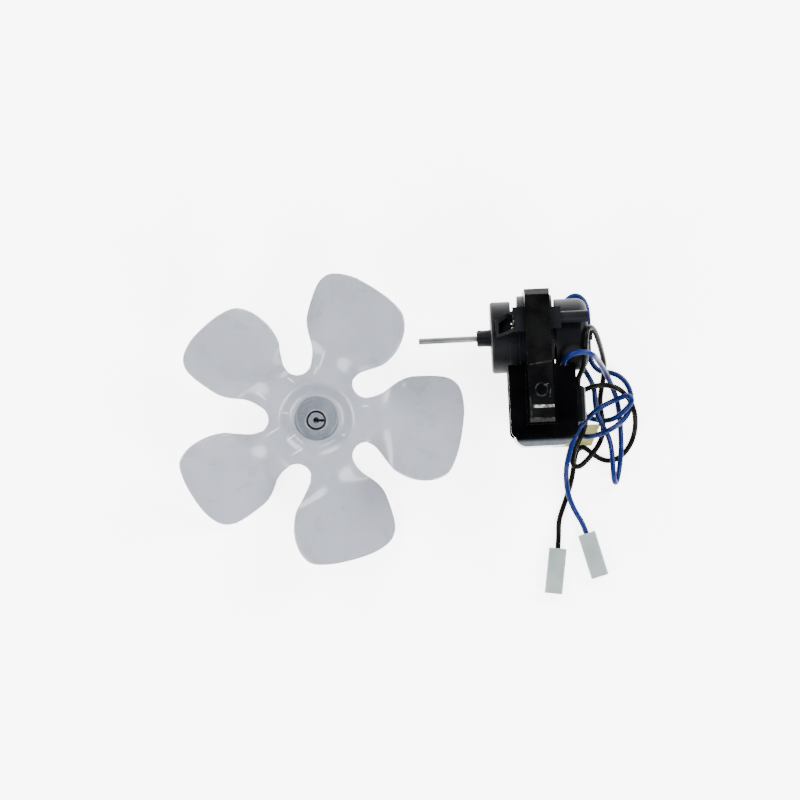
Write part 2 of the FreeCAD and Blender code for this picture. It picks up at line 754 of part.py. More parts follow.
# Coil wrap: a sleeve of tape, with the bulge over the splices on its rear face
wrap_block = doc.addObject("PartDesign::Body", "wrap_block")
wrap_block.AllowCompound = True
sleeve = slab(
    wrap_block,
    "XY_Plane",
    rectangle("-wrap_front", "wrap_rear", "-wrap_drop", "-(window_top + wrap_gap)"),
    "-" + coil_end,
    coil_end,
)
round_edges(wrap_block, sleeve, lambda edge: along(edge, AXIS_Z), "wrap_round")
bulge = slab(
    wrap_block,
    "XY_Plane",
    rectangle("wrap_rear - wrap_thick", "wrap_rear + splice_reach", "-splice_bottom", "-splice_top"),
    "-splice_width / 2",
    "splice_width / 2",
)
bulge_end = size("wrap_rear") + size("splice_reach")
round_edges(
    wrap_block,
    bulge,
    lambda edge: isinstance(edge.Curve, Part.Line) and edge.CenterOfMass.x > bulge_end - 0.01,
    "splice_round",
)
wrap_space = doc.addObject("PartDesign::Body", "wrap_space")
space = slab(
    wrap_space,
    "XY_Plane",
    rectangle(
        "-(wrap_front - wrap_thick)",
        "wrap_rear - wrap_thick",
        "-wound_drop",
        "-(window_top + wrap_gap + wrap_thick)",
    ),
    "-(%s + 1)" % coil_end,
    "%s + 1" % coil_end,
)
round_edges(wrap_space, space, lambda edge: along(edge, AXIS_Z), "wrap_round - wrap_thick")
sockets = []
for route in (BLACK_ROUTE, BLUE_ROUTE):
    entry = Vector(*route[0])
    socket = doc.addObject("Part::Cylinder", "socket")
    bind(socket, "Radius", "lead_radius")
    bind(socket, "Height", "socket_depth + 1")
    socket.Placement = FreeCAD.Placement(
        entry + Vector(size("mount_reach"), size("screw_rise"), 0),
        FreeCAD.Rotation(AXIS_Z, Vector(*route[1]) - entry),
    )
    sockets.append(socket)
wrap_hollow = doc.addObject("Part::MultiFuse", "wrap_hollow")
wrap_hollow.Shapes = [wrap_space] + sockets
wrap = doc.addObject("Part::Cut", "coil_wrap")
wrap.Base = wrap_block
wrap.Tool = wrap_hollow
finish(wrap, "coil_wrap")

# Insulating film: a loose leaf beside the frame's lower leg, under the coil and the leads
film = new_body("insulating_film")
slab(
    film,
    "XY_Plane",
    [
        (HALF, "-film_bottom"),
        ("film_reach - film_slant", "-film_bottom"),
        ("film_reach", "-film_top"),
        (HALF, "-film_top"),
    ],
    "-frame_width / 2",
    "film_thick - frame_width / 2",
)


def shading_ring(name, side):
    """A square copper bar bent to a loop through two holes in the stack; side is 1 or -1."""
    run_y = "(ring_inner_y - ring_outer_y)"
    run_z = "(ring_inner_z - ring_outer_z)"
    run = "sqrt(%s ^ 2 + %s ^ 2)" % (run_y, run_z)
    outer = doc.addObject("Part::Box", name + "_outer")
    inner = doc.addObject("Part::Box", name + "_inner")
    for box, grow in ((outer, "ring_bar"), (inner, "-ring_bar")):
        bind(box, "Length", "stack_thick + 2 * fit_clear + ring_bar + %s" % grow)
        bind(box, "Width", "%s + %s" % (run, grow))
        bind(box, "Height", "ring_bar")
        bind(box, "Placement.Base.x", "-(stack_thick + 2 * fit_clear + ring_bar + %s) / 2" % grow)
        bind(box, "Placement.Base.y", "-(%s + %s) / 2" % (run, grow))
        bind(box, "Placement.Base.z", "-ring_bar / 2")
    loop = doc.addObject("Part::Cut", name)
    loop.Base = outer
    loop.Tool = inner
    loop.Placement.Rotation = FreeCAD.Rotation(AXIS_X, 1)
    bind(loop, "Placement.Rotation.Angle", "atan2(%s; %s)" % (run_z, run_y))
    bind(loop, "Placement.Base.y", "%d * (ring_inner_y + ring_outer_y) / 2" % side)
    bind(loop, "Placement.Base.z", "%d * (ring_inner_z + ring_outer_z) / 2" % side)
    return loop


# Shading rings: a copper loop round one tip of each pole, at opposite ends of a diameter
rings = doc.addObject("Part::Compound", "shading_rings")
rings.Links = [shading_ring("upper_loop", 1), shading_ring("lower_loop", -1)]
finish(rings, "shading_rings")


def bracket_ring(body, low, high):
    """The flat C of a bracket that seats on the stack, open towards the coil."""
    drill(body, "YZ_Plane", [("0", "0")], "seat_outer", low, high, cut=False)
    slab(
        body,
        "YZ_Plane",
        rectangle("-(seat_outer + 1)", "-ring_flat", "-(seat_outer + 1)", "seat_outer + 1"),
        "(%s) - 1" % low,
        "(%s) + 1" % high,
        cut=True,
    )


# Front bracket: ring, two feet, two ribbed arms, the bearing cup and its nose, moulded as one
front = new_body("front_bracket")
ring_front = "-(stack_thick / 2 + front_ring)"
bracket_ring(front, ring_front, "-stack_thick / 2")
foot_front = "-(stack_thick / 2 + front_foot)"
cup_front = "-cup_face"
cup_rim = "-(cup_face - cup_depth)"
for side in SIDES:
    near, out = ("foot_in", "foot_out") if side == "" else ("-foot_out", "-foot_in")
    slab(
        front,
        "YZ_Plane",
        rectangle("foot_low", "foot_high", near, out),
        foot_front,
        "-stack_thick / 2",
    )
    arm = [
        (foot_front, "foot_low"),
        (foot_front, "foot_high - arm_wall"),
        ("-arm_reach", "arm_nose_high"),
        ("-arm_reach", "arm_nose_low"),
    ]
    arm_low, arm_high = ("arm_in", "foot_out") if side == "" else ("-foot_out", "-arm_in")
    slab(front, "XY_Plane", arm, arm_low, arm_high)
turn(
    front,
    [
        (cup_rim, "0"),
        (cup_front, "0"),
        (cup_front, "cup_radius - cup_round"),
        ("-(cup_face - cup_round * (1 - sqrt(0.5)))", "cup_radius - cup_round * (1 - sqrt(0.5))"),
        ("-(cup_face - cup_round)", "cup_radius"),
        (cup_rim, "cup_radius"),
    ],
)
turn(
    front,
    [
        ("-(cup_face + nose_reach)", "0"),
        ("-(cup_face + nose_reach)", "nose_radius"),
        (cup_front, "nose_radius + nose_flare"),
        ("-(cup_face - 1)", "nose_radius + nose_flare"),
        ("-(cup_face - 1)", "0"),
    ],
)
rib_out = "(nose_radius + rib_rise)"
rib_side = "(rib_width / 2)"
for across, up in ((rib_out, rib_side), (rib_side, rib_out)):
    slab(
        front,
        "YZ_Plane",
        rectangle("-" + across, across, "-" + up, up),
        "-(cup_face + nose_reach - rib_stop)",
        "-(cup_face - rib_stop)",
    )
slope = [
    (foot_front, "foot_out + 0.01"),
    (foot_front, "foot_out - arm_draft"),
    ("-arm_reach", "cup_radius + arm_tip"),
    ("-(arm_reach + 1)", "cup_radius + arm_tip"),
    ("-(arm_reach + 1)", "foot_out + 0.01"),
]
for side in SIDES:
    slab(
        front,
        "XZ_Plane",
        [(across, "%s(%s)" % (side, up)) for across, up in slope],
        "-(foot_high + 1)",
        "-(arm_nose_low - 1)",
        cut=True,
    )
    recess = [
        ("%s - arm_wall * 0.2" % foot_front, "foot_low + arm_wall"),
        ("%s - arm_wall * 0.2" % foot_front, "foot_high - 2 * arm_wall"),
        ("-(arm_reach - arm_wall)", "arm_nose_high - arm_wall"),
        ("-(arm_reach - arm_wall)", "arm_nose_low + arm_wall"),
    ]
    low, high = ("cup_radius - 0.3", "foot_out + 1") if side == "" else ("-(foot_out + 1)", "-(cup_radius - 0.3)")
    slab(front, "XY_Plane", recess, low, high, cut=True)
ledge = "(front_ball + seat_clear - 0.5)"
seat_slope = "(front_ball + (ball_radius + seat_clear) * sqrt(2))"
turn(
    front,
    [
        ("0", "0"),
        ("-(cup_face - 2)", "0"),
        ("-(cup_face - 2)", "%s - (cup_face - 2)" % seat_slope),
        ("-(%s - boss_radius)" % seat_slope, "boss_radius"),
        ("-(cup_face - 2)", "boss_radius + 0.01"),
        ("-(cup_face - 2)", "ledge_radius"),
        ("-" + ledge, "ledge_radius"),
        ("-" + ledge, "cup_radius - cup_wall"),
        (cup_rim, "cup_radius - cup_wall"),
        (cup_rim, "seat_inner"),
        ("0", "seat_inner"),
    ],
    cut=True,
)
skirt_turns = ["(skirt_start + %d * skirt_step)" % step for step in range(7)]
for side in SIDES:
    skirt = [("skirt_outer * cos%s" % turned, "%sskirt_outer * sin%s" % (side, turned)) for turned in skirt_turns]
    skirt += [
        ("skirt_inner * cos%s" % turned, "%sskirt_inner * sin%s" % (side, turned))
        for turned in reversed(skirt_turns)
    ]
    slab(front, "YZ_Plane", skirt, cup_rim + " - 1", ring_front + " + 1")
slab(
    front,
    "XY_Plane",
    rectangle("%s - arm_gap * 0.6" % foot_front, "%s + arm_gap * 0.4" % foot_front, "arm_gap_low", "arm_gap_high"),
    "-(foot_out + 1)",
    "foot_out + 1",
    cut=True,
)
drill(front, "YZ_Plane", [("0", "0")], "nose_bore", "-(cup_face + nose_reach + 1)", "-(cup_face - 3)")
drill(
    front,
    "YZ_Plane",
    [("screw_rise", "%sscrew_spread" % side) for side in SIDES],
    "screw_radius + screw_clear",
    "%s - 1" % foot_front,
    "-stack_thick / 2 + 1",
)
drill(
    front,
    "YZ_Plane",
    [("screw_rise", "%sscrew_spread" % side) for side in SIDES],
    "screw_head + screw_clear",
    "-(arm_reach + 1)",
    "%s + head_height" % foot_front,
)

# Rear bracket: ring, feet, mounting posts with pilot holes, and the deeper bearing cup
rear = new_body("rear_bracket")
bracket_ring(rear, HALF, "stack_thick / 2 + rear_ring")
for side in SIDES:
    near, out = ("rear_foot_in", "foot_out") if side == "" else ("-foot_out", "-rear_foot_in")
    slab(
        rear,
        "YZ_Plane",
        rectangle("rear_foot_low", "rear_foot_high", near, out),
        HALF,
        "stack_thick / 2 + rear_foot",
    )
drill(
    rear,
    "YZ_Plane",
    [("screw_rise", "%sscrew_spread" % side) for side in SIDES],
    "post_radius",
    "stack_thick / 2",
    "mount_reach",
    cut=False,
)
for side in SIDES:
    low, high = ("arm_in", "screw_spread") if side == "" else ("-screw_spread", "-arm_in")
    slab(
        rear,
        "XY_Plane",
        rectangle(
            "rear_cup_start", "rear_cup_end", "screw_rise - gusset_thick / 2", "screw_rise + gusset_thick / 2"
        ),
        low,
        high,
    )
turn(
    rear,
    [
        ("rear_cup_start", "0"),
        ("rear_cup_end", "0"),
        ("rear_cup_end", "rear_cup_radius"),
        ("rear_cup_start", "rear_cup_radius"),
    ],
)
rear_slope = "(rear_ball + (ball_radius + seat_clear) * sqrt(2))"
rear_ledge = "(rear_ball + seat_clear - 0.5)"
turn(
    rear,
    [
        ("0", "0"),
        ("rear_cup_end + 1", "0"),
        ("rear_cup_end + 1", "%s - (rear_cup_end + 1)" % rear_slope),
        ("%s - boss_radius" % rear_slope, "boss_radius"),
        ("rear_cup_end - 2", "boss_radius + 0.01"),
        ("rear_cup_end - 2", "ledge_radius"),
        (rear_ledge, "ledge_radius"),
        (rear_ledge, "rear_cup_radius - cup_wall"),
        ("rear_cup_start", "rear_cup_radius - cup_wall"),
        ("rear_cup_start", "seat_inner"),
        ("0", "seat_inner"),
    ],
    cut=True,
)
drill(
    rear,
    "YZ_Plane",
    [("screw_rise", "%sscrew_spread" % side) for side in SIDES],
    "pilot_radius",
    "stack_thick / 2 + screw_bore - 1",
    "mount_reach + 1",
)
drill(
    rear,
    "YZ_Plane",
    [("screw_rise", "%sscrew_spread" % side) for side in SIDES],
    "screw_radius",
    "0",
    "stack_thick / 2 + screw_bore",
)

# Rear cap: a round-edged cover over the rear bearing, with a small boss on the axis
cap = new_body("rear_cap")
cap_in = "(cap_round - cap_wall)"


def dome(end, edge_radius, outer):
    """Corners of a quarter-round edge: end is its flat face, outer its side."""
    corners = []
    for step in range(7):
        turned = 15 * step
        corners.append(
            (
                "%s - %s * (1 - sin(%d))" % (end, edge_radius, turned),
                "%s - %s * (1 - cos(%d))" % (outer, edge_radius, turned),
            )
        )
    return corners


turn(
    cap,
    [("rear_cup_end", "0")]
    + [("rear_cup_end", "rear_cup_radius")]
    + dome("mount_reach", "cap_round", "rear_cup_radius")
    + [
        ("mount_reach", "cap_boss"),
        ("mount_reach + cap_boss_rise - boss_bevel", "cap_boss"),
        ("mount_reach + cap_boss_rise", "cap_boss - boss_bevel"),
        ("mount_reach + cap_boss_rise", "0"),
    ],
)
turn(
    cap,
    [("rear_cup_end - 1", "0"), ("rear_cup_end - 1", "rear_cup_radius - cap_wall")]
    + dome("(mount_reach - cap_wall)", cap_in, "(rear_cup_radius - cap_wall)")
    + [("mount_reach - cap_wall", "0")],
    cut=True,
)


def bearing(label, place, way):
    """A sintered ball, cut flat at both ends, with the shaft's bore; way is 1 behind the stack, -1 ahead."""
    ball = doc.addObject("Part::Sphere", label + "_ball")
    bind(ball, "Radius", "ball_radius")
    bind(ball, "Angle1", "-asin(ball_length / 2 / ball_radius)")
    bind(ball, "Angle2", "asin(ball_length / 2 / ball_radius)")
    ball.Placement.Rotation = FreeCAD.Rotation(Vector(0, 1, 0), 90)
    bind(ball, "Placement.Base.x", "%d * %s" % (way, place))
    bore = doc.addObject("Part::Cylinder", label + "_bore")
    bind(bore, "Radius", "shaft_radius + run_clear")
    bind(bore, "Height", "ball_length + 2")
    bore.Placement.Rotation = FreeCAD.Rotation(Vector(0, 1, 0), 90)
    bind(bore, "Placement.Base.x", "%d * %s - ball_length / 2 - 1" % (way, place))
    cut = doc.addObject("Part::Cut", label)
    cut.Base = ball
    cut.Tool = bore
    return finish(cut, label)


def retainer(label, place, rim_place, rim_radius, way):
    """A dished spring washer: its rim lies on the cup's ledge and its lip presses on the ball."""
    body = new_body(label)
    lip = "(%s - sqrt(ball_radius ^ 2 - clip_lip ^ 2) - seat_clear)" % place
    turn(
        body,
        [
            ("%d * %s" % (way, lip), "clip_lip"),
            ("%d * %s" % (way, rim_place), "clip_knee"),
            ("%d * %s" % (way, rim_place), rim_radius),
            ("%d * (%s - clip_thick)" % (way, rim_place), rim_radius),
            ("%d * (%s - clip_thick)" % (way, rim_place), "clip_knee"),
            ("%d * (%s - clip_thick)" % (way, lip), "clip_lip"),
        ],
    )
    return body


def felt(label, low, high, way):
    """An oil-soaked ring between the seat's boss and the ledge, under the retainer."""
    body = new_body(label)
    turn(
        body,
        [
            ("%d * %s" % (way, low), "boss_radius + felt_gap"),
            ("%d * %s" % (way, high), "boss_radius + felt_gap"),
            ("%d * %s" % (way, high), "felt_outer"),
            ("%d * %s" % (way, low), "felt_outer"),
        ],
    )
    return body


bearing("front_bearing", "front_ball", -1)
bearing("rear_bearing", "rear_ball", 1)
retainer("front_bearing_clip", "front_ball", ledge, "cup_radius - cup_wall", -1)
retainer("rear_bearing_clip", "rear_ball", rear_ledge, "rear_cup_radius - cup_wall", 1)
felt("front_oil_felt", "(%s + felt_gap)" % ledge, "(cup_face - 2)", -1)
felt("rear_oil_felt", "(%s + felt_gap)" % rear_ledge, "(rear_cup_end - 2)", 1)


def bracket_screw(name, side):
    """A round-headed screw from a front foot through the stack into a rear post; side is 1 or -1."""
    shank = doc.addObject("Part::Cylinder", name + "_shank")
    bind(shank, "Radius", "screw_radius")
    bind(shank, "Height", "stack_thick + front_foot + screw_grip - head_height")
    head = doc.addObject("Part::Cylinder", name + "_head")
    bind(head, "Radius", "screw_head")
    bind(head, "Height", "head_height")
    bind(head, "Placement.Base.z", "-head_height")
    slot = doc.addObject("Part::Box", name + "_slot")
    bind(slot, "Length", "2 * screw_head")
    bind(slot, "Width", "slot_width")
    bind(slot, "Height", "slot_depth")
    bind(slot, "Placement.Base.x", "-screw_head")
    bind(slot, "Placement.Base.y", "-slot_width / 2")
    bind(slot, "Placement.Base.z", "-head_height")
    whole = doc.addObject("Part::MultiFuse", name + "_whole")
    whole.Shapes = [shank, head]
    screw = doc.addObject("Part::Cut", name)
    screw.Base = whole
    screw.Tool = slot
    screw.Placement.Rotation = FreeCAD.Rotation(Vector(0, 1, 0), 90)
    bind(screw, "Placement.Base.x", "-(stack_thick / 2 + front_foot - head_height)")
    bind(screw, "Placement.Base.y", "screw_rise")
    bind(screw, "Placement.Base.z", "%d * screw_spread" % side)
    return screw


screws = doc.addObject("Part::Compound", "bracket_screws")
screws.Links = [bracket_screw("near_screw", 1), bracket_screw("far_screw", -1)]
finish(screws, "bracket_screws")

# Shaft, ground steel with bevelled ends
shaft = new_body("shaft")
turn(
    shaft,
    [
        ("-shaft_free", "0"),
        ("-shaft_free", "shaft_radius - shaft_bevel"),
        ("-(shaft_free - shaft_bevel)", "shaft_radius"),
        ("shaft_back - shaft_bevel", "shaft_radius"),
        ("shaft_back", "shaft_radius - shaft_bevel"),
        ("shaft_back", "0"),
    ],
)

# Rotor core: round laminations with a closed hole for each bar of the cage
bar_places = []
for bar in range(BAR_COUNT):
    turned = bar * 360 / BAR_COUNT
    bar_places.append(("bar_circle * cos(%.6f)" % turned, "bar_circle * sin(%.6f)" % turned))
rotor_core = new_body("rotor_core")
drill(rotor_core, "YZ_Plane", [("0", "0")], "rotor_radius", "-stack_thick / 2", HALF, cut=False)
drill(rotor_core, "YZ_Plane", bar_places, "bar_radius", "-stack_thick", "stack_thick")
drill(rotor_core, "YZ_Plane", [("0", "0")], "shaft_radius", "-stack_thick", "stack_thick")

# Rotor cage: the bars and both end rings, cast in aluminium
cage = new_body("rotor_cage")
for low, high in (("-(stack_thick / 2 + cage_ring)", "-stack_thick / 2"), (HALF, "stack_thick / 2 + cage_ring")):
    drill(cage, "YZ_Plane", [("0", "0")], "rotor_radius - 0.3", low, high, cut=False)
drill(cage, "YZ_Plane", bar_places, "bar_radius", "-stack_thick / 2", HALF, cut=False)
for low, high in (("-(stack_thick / 2 + cage_ring)", "-stack_thick / 2"), (HALF, "stack_thick / 2 + cage_ring")):
    drill(cage, "YZ_Plane", [("0", "0")], "cage_inner", low, high)


def washer(label, radius, low, high, way):
    """A flat ring on the shaft."""
    body = new_body(label)
    turn(
        body,
        [
            ("%d * (%s)" % (way, low), "shaft_radius"),
            ("%d * (%s)" % (way, high), "shaft_radius"),
            ("%d * (%s)" % (way, high), radius),
            ("%d * (%s)" % (way, low), radius),
        ],
    )
    return body


for name, place, way in (("front", "front_ball", -1), ("rear", "rear_ball", 1)):
    ball_face = "(%s - ball_length / 2 - end_float)" % place
    washer(name + "_thrust_washer", "washer_radius", ball_face + " - washer_thick", ball_face, way)
    slinger_high = ball_face + " - washer_thick"
    washer(name + "_oil_slinger", "slinger_radius", "%s - slinger_thick" % slinger_high, slinger_high, way)


def blade_height(out, across):
    """Height of a blade's middle surface at a place out along the blade and across it."""
    ramp = min(max((out - size("twist_start")) / size("twist_run"), 0.0), 1.0)
    ramp = ramp * ramp * (3 - 2 * ramp)
    pitch = math.tan(math.radians(size("fan_pitch")))
    half = size("blade_width") / 2
    camber = size("blade_camber") * (across / half) ** 2
    return size("spider_rise") + size("spider_thick") / 2 + ramp * (camber - pitch * across)


def strip(out, thick):
    """A section of the blade's slab: a thin curved strip across the blade, at a place out along it."""
    reach = size("blade_width") / 2 + size("blade_margin")
    rows = []
    for offset in (-thick / 2, thick / 2):
        points = []
        for step in range(5):
            across = reach * (step - 2) / 2
            points.append(Vector(out, across, blade_height(out, across) + offset))
        curve = Part.BSplineCurve()
        curve.interpolate(points)
        rows.append((curve, points))
    low, high = rows
    edges = [
        low[0].toShape(),
        Part.makeLine(low[1][-1], high[1][-1]),
        high[0].toShape(),
        Part.makeLine(high[1][0], low[1][0]),
    ]
    return Part.Wire(Part.__sortEdges__(edges))


def blade_outline():
    """The blade seen along the axis: a broad paddle, rounder at one tip corner than at the other."""
    tip = size("fan_radius")
    half = size("blade_width") / 2
    sector = math.radians(180 / size("blade_count"))
    neck_x = size("notch_centre") * math.cos(sector)
    neck_y = size("notch_centre") * math.sin(sector) - size("notch_radius") + size("neck_lap")
    trail = [Vector(neck_x, neck_y, 0)]
    trail += [Vector(along_tip * tip, across * half, 0) for along_tip, across in BLADE_OUTLINE]
    trail.append(Vector(neck_x, -neck_y, 0))
    curve = Part.BSplineCurve()
    curve.interpolate(trail)
    root = size("hub_root") + size("dish_end") - size("dish_lap")
    edges = [
        curve.toShape(),
        Part.makeLine(trail[-1], Vector(root, -neck_y, 0)),
        Part.makeLine(Vector(root, -neck_y, 0), Vector(root, neck_y, 0)),
        Part.makeLine(Vector(root, neck_y, 0), trail[0]),
    ]
    return Part.Face(Part.Wire(edges))


def blades():
    """The twisted blades: a lofted slab cut to the paddle's outline, then turned round the axis."""
    tip = size("fan_radius")
    thick = size("blade_thick")
    places = [size("twist_start") + share * size("twist_run") for share in STRIP_SHARES]
    places.append(tip + size("blade_margin"))
    slab_shape = Part.makeLoft([strip(place, thick) for place in places], True, False)
    outline = blade_outline()
    outline.translate(Vector(0, 0, -tip))
    paddle = slab_shape.common(outline.extrude(Vector(0, 0, 2 * tip)))
    count = int(size("blade_count"))
    turned = []
    for number in range(count):
        copy = paddle.copy()
        copy.rotate(Vector(0, 0, 0), AXIS_Z, 360 * number / count)
        turned.append(copy)
    return turned


# Fan: hub and dished spider turned as one, with the blades and the notches between their roots
hub = doc.addObject("PartDesign::Body", "fan_hub")
turn(
    hub,
    [
        ("0", "-hub_depth"),
        ("hub_barrel - barrel_edge", "-hub_depth"),
        ("hub_barrel", "-hub_depth + barrel_edge"),
        ("hub_barrel + barrel_swell", "-barrel_root"),
        ("hub_root + dish_start", "0"),
        ("hub_root + dish_end", "spider_rise"),
        ("spider_radius", "spider_rise"),
        ("spider_radius", "spider_rise + spider_thick"),
        ("hub_root + dish_end - dish_lap", "spider_rise + spider_thick"),
        ("hub_root + step_out", "spider_thick + step_rise"),
        ("hub_root + step_in", "spider_thick + step_rise"),
        ("hub_root + step_in", "spider_thick"),
        ("hub_root", "spider_thick"),
        ("hub_top", "hub_rise"),
        ("0", "hub_rise"),
    ],
    plane="XZ_Plane",
    axis="V_Axis",
)
turn(
    hub,
    [
        ("collet_radius", "hub_rise - moat_depth"),
        ("collet_moat", "hub_rise - moat_depth"),
        ("collet_moat", "hub_rise + 1"),
        ("collet_radius", "hub_rise + 1"),
    ],
    cut=True,
    plane="XZ_Plane",
    axis="V_Axis",
)
drill(hub, "XY_Plane", [("0", "0")], "fan_bore", "-(hub_depth + 1)", "hub_rise + 1")
slab(
    hub,
    "XY_Plane",
    rectangle("0", "(collet_radius + collet_moat) / 2", "-collet_slot / 2", "collet_slot / 2"),
    "hub_rise - moat_depth",
    "hub_rise + 1",
    cut=True,
)
doc.recompute()
fan_shape = hub.Shape.multiFuse(blades())
sector = 360 / size("blade_count")
for number in range(int(size("blade_count"))):
    angle = math.radians(sector * (number + 0.5))
    centre = Vector(size("notch_centre") * math.cos(angle), size("notch_centre") * math.sin(angle), 0)
    centre.z = -size("hub_depth")
    fan_shape = fan_shape.cut(Part.makeCylinder(size("notch_radius"), 3 * size("hub_depth"), centre))
fan_shape = fan_shape.removeSplitter()


def resting_lean(shape, level):
    """Angle at which the hub's end and the two lowest blade corners touch the table together, and the
    height of the fan's centre above it."""
    points = shape.tessellate(0.5)[0]
    hub_points = [p for p in points if math.hypot(p.x, p.y) < size("hub_root")]
    blade_points = [p for p in points if math.hypot(p.x, p.y) > size("spider_radius")]

    def lowest(group, lean):
        return min(p.z * math.cos(lean) + p.y * math.sin(lean) for p in group)

    low, high = 0.0, math.pi / 6
    for step in range(40):
        middle = (low + high) / 2
        if lowest(blade_points, middle) > lowest(hub_points, middle):
            low = middle
        else:
            high = middle
    height = level - min(lowest(blade_points, low), lowest(hub_points, low))
    return math.degrees(low), height


# The fan lies hub up on the hub's far end and two blades, as it comes to rest
table = -size("frame_width") / 2
turned_fan = fan_shape.copy()
turned_fan.rotate(Vector(0, 0, 0), AXIS_Z, size("fan_turn") - size("fan_lean_axis"))
lean, fan_height = resting_lean(turned_fan, table)
lean_angle = math.radians(size("fan_lean_axis"))
lean_axis = Vector(math.cos(lean_angle), math.sin(lean_angle), 0)
fan_placement = FreeCAD.Placement(
    Vector(size("fan_place_x"), size("fan_place_y"), fan_height),
    FreeCAD.Rotation(lean_axis, lean) * FreeCAD.Rotation(AXIS_Z, size("fan_turn")),
)
fan = doc.addObject("Part::Feature", "fan")
fan.Shape = fan_shape
fan.Placement = fan_placement
finish(fan, "fan", in_motor=False)
print("fan leans %.2f degrees, centre %.2f above the table" % (lean, fan_height - table))
hub_axis = fan_placement.Rotation.multVec(AXIS_Z)
hub_middle = fan_placement.multVec(Vector(0, 0, (size("hub_rise") - size("hub_depth")) / 2))
print("fan bore axis %.9f %.9f %.9f" % tuple(hub_axis))
print("fan bore middle %.6f %.6f %.6f" % tuple(hub_middle))

# Spring ring: a round wire in the moat, closed round the split collet
spring = doc.addObject("Part::Torus", "fan_spring_ring")
bind(spring, "Radius1", "collet_radius + spring_wire")
bind(spring, "Radius2", "spring_wire")
lift = FreeCAD.Placement(Vector(0, 0, size("hub_rise") - size("spring_drop")), FreeCAD.Rotation())
spring.Placement = fan_placement * lift
finish(spring, "fan_spring_ring", in_motor=False)


def tube(points, radius, label):
    """A lead: straight runs joined by tangent arcs, each as large as its two runs allow."""
    corners = [Vector(*point) for point in points]
    edges = []
    at = corners[0]
    radii = []
    for index in range(1, len(corners) - 1):
        before = corners[index] - corners[index - 1]
        after = corners[index + 1] - corners[index]
        half_turn = before.getAngle(after) / 2
        reach = ARC_SHARE * min(before.Length, after.Length)
        radii.append(reach / math.tan(half_turn))
        start = corners[index] - before.normalize() * reach
        end = corners[index] + after.normalize() * reach
        bow = (start + end) / 2 - corners[index]
        drop = radii[-1] / math.cos(half_turn) - radii[-1]
        middle = corners[index] + bow.normalize() * drop
        edges.append(Part.makeLine(at, start))
        edges.append(Part.Arc(start, middle, end).toShape())
        at = end
    edges.append(Part.makeLine(at, corners[-1]))
    path = Part.Wire(edges)
    length = path.Length
    run = (corners[1] - corners[0]).normalize()
    section = Part.Wire(Part.makeCircle(radius, corners[0], run))
    solid = path.makePipeShell([section], True, False)
    wanted = math.pi * radius**2 * length
    print(
        "%s: length %.1f, smallest radius %.1f, volume ratio %.4f"
        % (label, length, min(radii), solid.Volume / wanted)
    )
    print("  radii " + " ".join("%.1f" % radius_here for radius_here in radii))
    return solid


LEADS = {"black_lead": BLACK_ROUTE, "blue_lead": BLUE_ROUTE}
for label, route in LEADS.items():
    lead = doc.addObject("Part::Feature", label)
    lead.Shape = tube(route, size("lead_radius"), label)
    finish(lead, label, in_motor=False)


def lay_down(body, lead):
    """Places a piece that was drawn along +X at the wire end of a lead's housing, on the table."""
    body.Placement.Rotation = FreeCAD.Rotation(AXIS_Z, 1)
    bind(body, "Placement.Rotation.Angle", "%s_way" % lead)
    bind(body, "Placement.Base.x", "%s_end_x" % lead)
    bind(body, "Placement.Base.y", "%s_end_y" % lead)
    bind(body, "Placement.Base.z", "(housing_height - frame_width) / 2")


# Receptacles on the leads' ends: a crimp barrel, a floor and two rolled lips
for lead in ("black", "blue"):
    tab = new_body(lead + "_lead_terminal", in_motor=False)
    drill(tab, "YZ_Plane", [("0", "0")], "tab_barrel", "barrel_start", "lead_inset + tab_metal", cut=False)
    rail = "(tab_width / 2 - tab_metal)"
    floor = "(tab_metal - tab_height / 2)"
    profile = [
        ("-tab_width / 2", "-tab_height / 2"),
        ("tab_width / 2", "-tab_height / 2"),
        ("tab_width / 2", "tab_height / 2"),
        ("tab_width / 2 - tab_lip", "tab_height / 2"),
        ("tab_width / 2 - tab_lip", "tab_height / 2 - tab_metal"),
        (rail, "tab_height / 2 - tab_metal"),
        (rail, floor),
        ("-" + rail, floor),
        ("-" + rail, "tab_height / 2 - tab_metal"),
        ("tab_lip - tab_width / 2", "tab_height / 2 - tab_metal"),
        ("tab_lip - tab_width / 2", "tab_height / 2"),
        ("-tab_width / 2", "tab_height / 2"),
    ]
    slab(tab, "YZ_Plane", profile, "lead_inset", "lead_inset + tab_length")
    drill(tab, "YZ_Plane", [("0", "0")], "lead_radius", "0", "lead_inset")
    lay_down(tab, lead)

# Housings over the receptacles: open at the wire end, with a flat mouth at the other
for lead in ("black", "blue"):
    shell = new_body(lead + "_lead_housing", in_motor=False)
    block = slab(
        shell,
        "YZ_Plane",
        rectangle("-housing_width / 2", "housing_width / 2", "-housing_height / 2", "housing_height / 2"),
        "0",
        "housing_length",
    )
    round_edges(shell, block, lambda edge: along(edge, AXIS_X), "housing_round")
    bay = rectangle(
        "-(housing_width / 2 - housing_wall)",
        "housing_width / 2 - housing_wall",
        "-(housing_height / 2 - housing_wall)",
        "housing_height / 2 - housing_wall",
    )
    slab(shell, "YZ_Plane", bay, "-1", "housing_length - housing_wall", cut=True)
    slab(
        shell,
        "YZ_Plane",
        rectangle("-mouth_width / 2", "mouth_width / 2", "-mouth_height / 2", "mouth_height / 2"),
        "housing_length / 2",
        "housing_length + 1",
        cut=True,
    )
    slab(
        shell,
        "XY_Plane",
        rectangle(
            "lead_inset + tab_length / 2 - latch_length / 2",
            "lead_inset + tab_length / 2 + latch_length / 2",
            "-latch_width / 2",
            "latch_width / 2",
        ),
        "-(housing_height / 2 + 1)",
        "0",
        cut=True,
    )
    lay_down(shell, lead)

